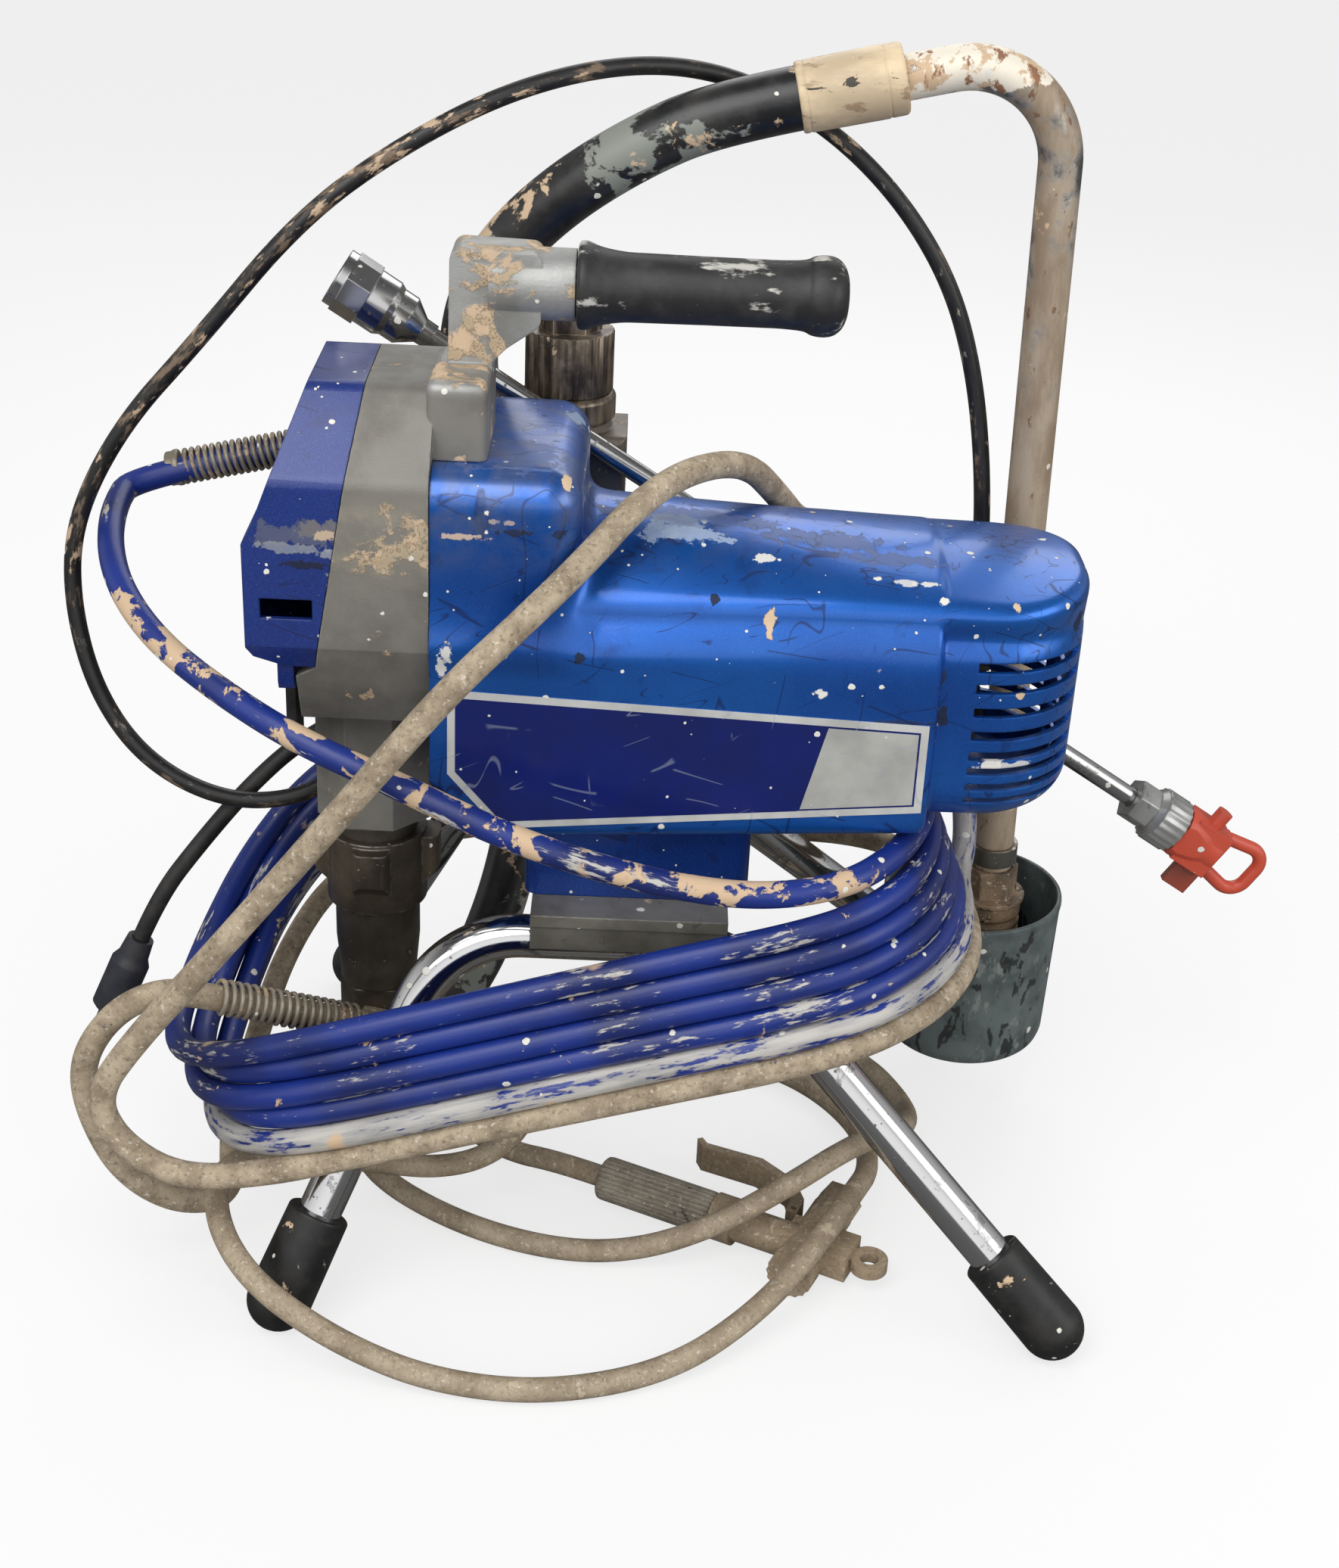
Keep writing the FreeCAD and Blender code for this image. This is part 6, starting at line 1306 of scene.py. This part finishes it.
def nickel_finish():
    """Plating gone brown and grey in streaks that run down, with a little dried paint."""
    c = colours()
    paint = Paint("nickel_finish")
    streak = paint.noise(7.0, 5.0, 0.6, paint.stretched((1.0, 1.0, 0.16)))
    cloud = paint.noise(16.0, 5.0, 0.6)
    colour = paint.blend(streak.ramp(0.36, 0.64), srgb(66, 56, 48), srgb(150, 136, 118))
    colour = paint.blend(cloud.ramp(0.5, 0.64) * 0.6, colour, srgb(48, 44, 42))
    edge = paint.edges(0.8).ramp(0.05, 0.3)
    colour = paint.blend(edge * 0.6, colour, srgb(198, 192, 180))
    tan = splotches(paint, 11.0, 0.14, paint.stretched((1.0, 1.0, 0.5)), 8.0)
    colour = paint.blend(tan * 0.8, colour, c.splash)
    colour, white = flecked(paint, colour, 6.0, 0.06)
    spots = tan.most(white)
    normal = paint.bump(spots * 0.4 + streak * 0.1, 0.4)
    return paint.finish(colour, 0.26 + streak * 0.15 + spots * 0.3, (1.0 - spots) * 0.65, normal)


class SPRAYER_OT_controls(bpy.types.Operator):
    """Dress the control box, its pressure knob, the switch and the cord's gland"""

    bl_idname = "sprayer.controls"
    bl_label = "Controls"

    def execute(self, context):
        box = rubber("box_finish", srgb(30, 31, 33), 0.5, 0.05, 0.14, 0.35)
        from_node("control_box", box, edge=1.2, steps=3)
        from_node("pressure_knob", rubber("knob_finish", srgb(22, 22, 24), 0.4, 0.05, 0.1, 0.3), edge=0.8)
        glossy = rubber("switch_finish", srgb(14, 14, 15), 0.3, 0.02, 0.06, 0.2, 0.3)
        from_node("power_switch", glossy, edge=0.5)
        from_node("cord_gland", rubber("gland_finish", srgb(18, 18, 19), 0.5, 0.03, 0.08, 0.3), edge=0.5)
        return {"FINISHED"}


# Suction side
TUBE_START = np.array([85.0, 88.0, 531.0])
FERRULE_START = np.array([46.5, 88.0, 522.0])
TUBE_TOP_X = 156.0
TUBE_BEND = 42.0
TUBE_FOOT = np.array([167.5, 88.0, 139.0])
TUBE_R = 10.0
CROWN_SLOPE = 9.0 / 38.5
CROWN_LEVEL = 511.1
ELBOW_CENTRE = np.array([-141.0, 0.0, 46.0])
RISER_OFFSET = np.array([61.0, 168.0, 0.0])
ELBOW_AIM = unit(RISER_OFFSET)
ELBOW_REACH = 30.0
HOSE_SWEEP = 104.0
HOSE_SPREAD = 0.27 * HOSE_SWEEP
CUP_CENTRE = np.array([161.5, 88.0, 38.0])
CUP_HEIGHT = 86.0
CUP_PROFILE = (
    (0, 0), (0, 34), (1.2, 38.4), (3.4, 40.9), (8, 42.5), (80, 45.7), (83, 46.4), (CUP_HEIGHT, 46.0),
    (CUP_HEIGHT, 43.7), (9, 40.1), (4.6, 38.1), (2.4, 33.5), (2.4, 0),
)
SUCTION_RISE = [
    (-83, 166, 190), (-88, 160, 250), (-96, 148, 304), (-106, 132, 352), (-110, 115, 398),
    (-96, 104, 438), (-68, 96, 469), (-33, 91, 494),
]


def suction_route():
    """From the pump's elbow up behind the housing and over to the tube's ferrule."""
    run = TUBE_START - FERRULE_START
    start = ELBOW_CENTRE + ELBOW_AIM * ELBOW_REACH
    riser = ELBOW_CENTRE + RISER_OFFSET
    spots = [start, start + ELBOW_AIM * (np.dot(ELBOW_AIM, riser - start) - HOSE_SWEEP + HOSE_SPREAD)]
    for turn in (30, 60):
        step = ELBOW_AIM * math.cos(math.radians(turn)) + np.array([0, 0, math.sin(math.radians(turn))])
        spots.append(spots[-1] + step * 2 * HOSE_SPREAD)
    return np.array(spots + SUCTION_RISE + [FERRULE_START - 1.15 * run, FERRULE_START])


class SPRAYER_OT_suction(bpy.types.Operator):
    """Sweep the suction hose and its tube, and set the ferrule, the strainer and the drip cup"""

    bl_idname = "sprayer.suction"
    bl_label = "Suction hose and tube"

    def execute(self, context):
        black = rubber("suction_finish", srgb(24, 25, 27), 0.36, 0.24, 0.14, 0.3, 0.15, grey=0.42, size=30.0)
        path, _ = spline_path(place(suction_route()))
        standing(hose_surface("suction", path, sizes().suction / 2, black, 56), "suction_hose")
        run = TUBE_START - FERRULE_START
        length = float(np.linalg.norm(run))
        profile = ((-8, 13.8), (-8, 15.0), (-7, 15.6), (-5.2, 15.6), (-4.6, 15.1), (-4, 15.6), (12, 15.8),
                   (length - 9, 15.9), (length - 8.4, 15.3), (length - 7.8, 15.8), (length - 1.4, 15.7),
                   (length, 14.6), (length, TUBE_R - 0.4))
        ferrule = turned("ferrule", eased(profile, 0.6), FERRULE_START, run, ferrule_finish(), 72)
        standing(ferrule, "hose_ferrule")
        top = TUBE_START + run * ((TUBE_TOP_X - TUBE_START[0]) / run[0])
        down = unit(TUBE_FOOT - top)
        line = bent([TUBE_START - 0.5 * run, top, TUBE_FOOT + 6 * down], TUBE_BEND, 28)
        standing(hose_surface("riser_tube", place(line), TUBE_R * MM, riser_finish(), 48), "suction_tube")
        strainer = crusted("strainer_finish", srgb(170, 142, 112), srgb(90, 78, 64), 9.0, 0.2)
        from_node("strainer", strainer, edge=0.6)
        cup = turned("cup", eased(CUP_PROFILE, 1.4), CUP_CENTRE, -down, cup_finish(), 96)
        standing(cup, "drip_cup")
        wire = bright_metal("clip_finish", srgb(150, 146, 138), 0.3, 0.1, 0.1, 0.3, 0.2)
        from_node("cup_clip", wire, edge=0.4)
        return {"FINISHED"}


def ferrule_finish():
    """Crimped sleeve under cream paint with brown smudges and a few chips down to black."""
    paint = Paint("ferrule_finish")
    shade = paint.noise(16.0, 5.0, 0.6, paint.stretched((0.4, 1.0, 1.0)))
    colour = paint.blend(shade.ramp(0.36, 0.64), srgb(226, 204, 168), srgb(194, 174, 144))
    smudge = paint.noise(9.0, 7.0, 0.66, paint.stretched((0.5, 1.0, 1.0), (0.3, 0.8, 0.1)))
    colour = paint.blend(smudge.ramp(0.56, 0.64) * 0.7, colour, srgb(140, 112, 84))
    chip = splotches(paint, 8.0, 0.1, paint.stretched((0.5, 1.0, 1.0), (0.1, 0.4, 0.7)), 7.0)
    colour = paint.blend(chip, colour, srgb(62, 56, 50))
    drop = splotches(paint, 7.0, 0.08, paint.moved(0.7, 0.2, 0.2), 7.0)
    colour = paint.blend(drop, colour, srgb(226, 212, 184))
    normal = paint.bump(drop * 0.5 + shade * 0.3 - chip * 0.4, 0.5)
    return paint.finish(colour, shade * 0.2 + 0.36, 0.0, normal)


def riser_finish():
    """Bright tube under thin tan paint and rust that grow thicker downwards."""
    paint = Paint("riser_finish")
    level = paint.part_of(paint.spot, 2)
    lower = 1.0 - level.ramp(0.3, 0.54)
    streak = paint.noise(14.0, 7.0, 0.62, paint.stretched((1.0, 1.0, 0.3)))
    cloud = paint.noise(26.0, 7.0, 0.6, bend=0.3)
    steel = paint.blend(streak.ramp(0.35, 0.7), srgb(190, 188, 184), srgb(150, 144, 134))
    film = (cloud * 0.6 + streak * 0.4 + lower * 0.2).ramp(0.44, 0.58)
    thin = paint.blend(streak.ramp(0.38, 0.62), srgb(174, 156, 132), srgb(148, 126, 102))
    colour = paint.blend(film * 0.9, steel, thin)
    rusty = paint.noise(9.0, 8.0, 0.65, paint.stretched((1.0, 1.0, 0.5), (0.2, 0.5, 0.3)))
    rust = (rusty + (1.0 - lower) * 0.03).ramp(0.61, 0.66)
    colour = paint.blend(rust * 0.85, colour, srgb(118, 78, 52))
    colour, tan = splashed(paint, colour, 15.0, 0.1, paint.stretched((1.0, 1.0, 0.6), (0.6, 0.1, 0.8)))
    patch = paint.noise(11.0, 8.0, 0.68, paint.moved(0.4, 0.4, 0.9))
    above = level - paint.part_of(paint.spot, 0) * CROWN_SLOPE - CROWN_LEVEL * MM
    crown = (above.ramp(-0.004, 0.006) * 0.24 + patch * 0.6).ramp(0.43, 0.46)
    cream = paint.blend(patch.ramp(0.44, 0.5), srgb(206, 178, 146), srgb(236, 228, 212))
    cream = paint.blend(rusty.ramp(0.54, 0.6), cream, srgb(150, 106, 78))
    colour = paint.blend(crown, colour, cream)
    tan = tan.most(crown)
    colour, white = flecked(paint, colour, 7.0, 0.08)
    dull = film.most(rust).most(tan).most(white)
    normal = paint.bump(dull * 0.4 + streak * 0.2 + rust * 0.3, 0.4)
    return paint.finish(colour, dull * 0.3 + streak * 0.15 + 0.2, 1.0 - dull * 0.85, normal)


def cup_finish():
    """Grey-green moulded cup with scrapes, white smears, a few black stains and a painted highlight along its
    rim.
    """
    c = colours()
    paint = Paint("cup_finish")
    shade = paint.noise(20.0, 5.0, 0.6)
    colour = paint.blend(shade.ramp(0.35, 0.7), c.cup, srgb(68, 77, 77))
    smear = paint.noise(6.0, 8.0, 0.7, paint.stretched((1.0, 1.0, 0.5))) * 0.6 + paint.noise(30.0, 3.0) * 0.5
    pale = smear.ramp(0.6, 0.68)
    colour = paint.blend(pale * 0.55, colour, srgb(150, 156, 150))
    colour, drops = flecked(paint, colour, 8.0, 0.16)
    black = splotches(paint, 12.0, 0.3, paint.stretched((1.0, 1.0, 0.45), (0.4, 0.1, 0.3)), 8.0)
    colour = paint.blend(black * 0.8, colour, srgb(16, 17, 17))
    # Painted highlight: a pale colour along the sharp edges of the rim
    rim = paint.edges(1.2).ramp(0.08, 0.3) * paint.noise(5.0, 4.0).ramp(0.42, 0.55)
    colour = paint.blend(rim * 0.8, colour, srgb(190, 190, 182))
    normal = paint.bump(drops.most(pale) * 0.35 + shade * 0.3, 0.5)
    return paint.finish(colour, shade * 0.25 + 0.35, 0.0, normal, 0.15, 0.3)


# Extension
TIP_END = np.array([247.0, 72.0, 178.5])
TIP_AIM = unit((399.0, 0.0, -250.0))
GUARD_SEAT = 10.0
GUARD_BODY = 25.2
LOOP_LINE = ((-9.0, 20.0), (-14.4, 49.5), (14.4, 49.5), (9.0, 20.0))
LOOP_BEND = 8.5
LOOP_R = 3.5


class SPRAYER_OT_extension(bpy.types.Operator):
    """Dress the tip extension behind the machine, with its swivel, nuts, guard and tip"""

    bl_idname = "sprayer.extension"
    bl_label = "Tip extension"

    def execute(self, context):
        chrome = bright_metal("extension_finish", srgb(190, 190, 190), 0.16, 0.03, 0.12, 0.3)
        alloy = cast_metal("alloy_finish", srgb(186, 186, 184), srgb(140, 140, 138), 0.6, 0.3, 0.06, 0.08,
                           0.8, 0.12)
        from_node("lance_tube", chrome)
        from_node("lance_swivel", chrome, edge=0.8)
        from_node("lance_tip_end", alloy, edge=0.7)
        from_node("retaining_nut", alloy, edge=0.5)
        orange = rubber("guard_finish", colours().guard, 0.42, 0.08, 0.1, 0.12, 0.2)
        seat = TIP_END + GUARD_SEAT * TIP_AIM
        across = np.cross((0.0, 1.0, 0.0), TIP_AIM)
        from_node("tip_guard", orange, edge=0.8, steps=3, below=(seat + GUARD_BODY * TIP_AIM, TIP_AIM))
        line = bent([seat + side * across + ahead * TIP_AIM for side, ahead in LOOP_LINE], LOOP_BEND, 12)
        standing(hose_surface("guard_loop", place(line), LOOP_R * MM, orange, 24), "tip_guard")
        red = rubber("tip_finish", srgb(150, 66, 48), 0.4, 0.2, 0.12, 0.3)
        from_node("spray_tip", red, edge=1.4, steps=3)
        return {"FINISHED"}


GUN_GRIP_PROFILE = ((0.4, 0), (0.4, 9.4), (1.4, 10.7), (3, 11), (59, 11), (61, 10.6), (61.8, 9.6), (61.8, 0))
GUN_FLUTES = 26


class SPRAYER_OT_gun(bpy.types.Operator):
    """Dress the spray gun that lies on the floor, under its coats of old paint"""

    bl_idname = "sprayer.gun"
    bl_label = "Spray gun"

    def execute(self, context):
        old = crusted("gun_finish", srgb(186, 166, 138), srgb(146, 128, 104), 8.0, 0.14, srgb(120, 112, 98))
        grip = crusted("gun_grip_finish", srgb(170, 162, 146), srgb(128, 120, 106), 7.0, 0.1,
                       srgb(84, 80, 74))
        from_node("gun_body", old, edge=0.8)
        handle = turned("grip_of_gun", eased(GUN_GRIP_PROFILE, 0.6), GUN_START, GUN_AIM, grip, 8 * GUN_FLUTES,
                        GUN_FLUTES, 0.9, 50.0)
        standing(handle, "gun_grip")
        from_node("gun_trigger", old, edge=0.6)
        return {"FINISHED"}


class SPRAYER_OT_inside(bpy.types.Operator):
    """Give the moving parts inside the housings their machined finishes"""

    bl_idname = "sprayer.inside"
    bl_label = "Parts inside"

    def execute(self, context):
        ground = cast_metal("ground_finish", srgb(170, 170, 172), srgb(130, 130, 132), 0.95, 0.25, 0.0, 0.0,
                            0.3, 0.08)
        dull = cast_metal("dull_finish", srgb(84, 84, 86), srgb(60, 60, 62), 0.8, 0.4, 0.0, 0.0, 0.4, 0.15)
        give(ground, "pinion", "drive_gear", "crankshaft", "connecting_rod", "pump_rod", "intake_ball",
             "motor_rotor")
        give(dull, "motor_can")
        give(rubber("fan_finish", srgb(24, 24, 25), 0.45, 0.0, 0.04, 0.5), "cooling_fan")
        return {"FINISHED"}


# Floor, light and camera
CAMERA_SPOT = (-24.4, -923.3, 703.8)
CAMERA_TILT = math.radians(27.5)
CAMERA_YAW = math.radians(1.25)
CAMERA_ROLL = math.radians(3.0)
PHOTO_HEIGHT = 2072.0
FOCAL_PIXELS = 2950.0
# Name, place, width in millimetres and watts
LAMPS = (("Key", (-500, -900, 1500), 1100.0, 14.0), ("Fill", (1300, -700, 900), 900.0, 5.0),
         ("Back", (200, 1300, 1300), 1200.0, 8.0))
LIT_SPOT = (0, 0, 220)
FLOOR_REACH = 9.0


class SPRAYER_OT_stage(bpy.types.Operator):
    """Set the pale floor, the soft lights and the camera of the photograph"""

    bl_idname = "sprayer.stage"
    bl_label = "Stage"

    def execute(self, context):
        scene = context.scene
        scene.view_settings.view_transform = "Standard"
        lens = bpy.data.cameras.new("Camera")
        lens.sensor_width = 36.0
        lens.lens = lens.sensor_width * FOCAL_PIXELS / PHOTO_HEIGHT
        lens.clip_end = 50.0
        camera = shown("Camera", lens)
        ahead = np.array([math.sin(CAMERA_YAW), math.cos(CAMERA_YAW), 0.0])
        aim = ahead * math.cos(CAMERA_TILT) - np.array([0.0, 0.0, math.sin(CAMERA_TILT)])
        level = np.array([math.cos(CAMERA_YAW), -math.sin(CAMERA_YAW), 0.0])
        above = np.cross(level, aim)
        right = math.cos(CAMERA_ROLL) * level + math.sin(CAMERA_ROLL) * above
        up = -math.sin(CAMERA_ROLL) * level + math.cos(CAMERA_ROLL) * above
        turn = Matrix((right, up, -aim)).transposed().to_4x4()
        camera.matrix_world = Matrix.Translation(Vector(place(CAMERA_SPOT))) @ turn
        scene.camera = camera

        scene.world = bpy.data.worlds.new("Room")
        room = Paint("Room", scene.world)
        height = room.part_of(room.spot, 2)
        behind = 0.5 - room.part_of(room.spot, 1) * 0.5
        band = height.ramp(-0.08, 0.05) * (1.0 - height.ramp(0.4, 0.8))
        seen = room.node("ShaderNodeLightPath", {}, {}, "Is Camera Ray")
        glossy = room.node("ShaderNodeLightPath", {}, {}, "Is Glossy Ray")
        lit = band * behind * 1.35 + 0.42 - glossy * 0.24
        glow = room.node("ShaderNodeBackground", {}, {"Strength": seen.most(lit)})
        room.node("ShaderNodeOutputWorld", {}, {"Surface": glow}, None)

        target = Vector(place(LIT_SPOT))
        for name, spot, width, power in LAMPS:
            lamp = bpy.data.lights.new(name, "AREA")
            lamp.size = width * MM
            lamp.energy = power
            holder = shown(name, lamp)
            holder.location = Vector(place(spot))
            holder.rotation_euler = (target - holder.location).to_track_quat("-Z", "Y").to_euler()

        paint = Paint("floor_finish")
        seen = paint.node("ShaderNodeLightPath", {}, {}, "Is Camera Ray")
        glossy = paint.node("ShaderNodeLightPath", {}, {}, "Is Glossy Ray")
        tone = paint.blend(glossy, srgb(158, 158, 158), srgb(112, 112, 112))
        tone = paint.blend(seen, tone, srgb(247, 247, 247))
        pale = paint.node("ShaderNodeBsdfDiffuse", {}, {"Color": tone})
        light = paint.node("ShaderNodeEmission", {}, {})
        mix = paint.node("ShaderNodeMixShader", {}, {0: seen * 0.72, 1: pale, 2: light})
        paint.node("ShaderNodeOutputMaterial", {}, {"Surface": mix}, None)
        corners = [(x * FLOOR_REACH, y * FLOOR_REACH, 0.0) for x, y in ((-1, -1), (1, -1), (1, 1), (-1, 1))]
        mesh = bpy.data.meshes.new("floor")
        mesh.from_pydata(corners, [], [(0, 1, 2, 3)])
        mesh.materials.append(paint.material)
        floor = shown("floor", mesh)
        return {"FINISHED"}


class SPRAYER_PT_panel(bpy.types.Panel):
    """Lists the sprayer's pieces"""

    bl_label = "Paint sprayer"
    bl_idname = "SPRAYER_PT_panel"
    bl_space_type = "VIEW_3D"
    bl_region_type = "UI"
    bl_category = "Sprayer"

    def draw(self, context):
        layout = self.layout
        for group in (context.scene.sprayer_sizes, context.scene.sprayer_colours):
            for key in group.__annotations__:
                layout.prop(group, key)
        for operator in OPERATORS:
            layout.operator(operator.bl_idname)


OPERATORS = (SPRAYER_OT_stage, SPRAYER_OT_hoses, SPRAYER_OT_stand, SPRAYER_OT_shroud, SPRAYER_OT_head,
             SPRAYER_OT_pump, SPRAYER_OT_fluid, SPRAYER_OT_controls, SPRAYER_OT_suction, SPRAYER_OT_extension,
             SPRAYER_OT_gun, SPRAYER_OT_inside)
CLASSES = (SprayerSizes, SprayerColours, *OPERATORS, SPRAYER_PT_panel)


def register():
    for each in CLASSES:
        bpy.utils.register_class(each)
    bpy.types.Scene.sprayer_sizes = bpy.props.PointerProperty(type=SprayerSizes)
    bpy.types.Scene.sprayer_colours = bpy.props.PointerProperty(type=SprayerColours)


def unregister():
    del bpy.types.Scene.sprayer_colours
    del bpy.types.Scene.sprayer_sizes
    for each in reversed(CLASSES):
        bpy.utils.unregister_class(each)


def main():
    register()
    for operator in OPERATORS:
        group, name = operator.bl_idname.split(".")
        getattr(getattr(bpy.ops, group), name)()


if __name__ == "__main__":
    main()
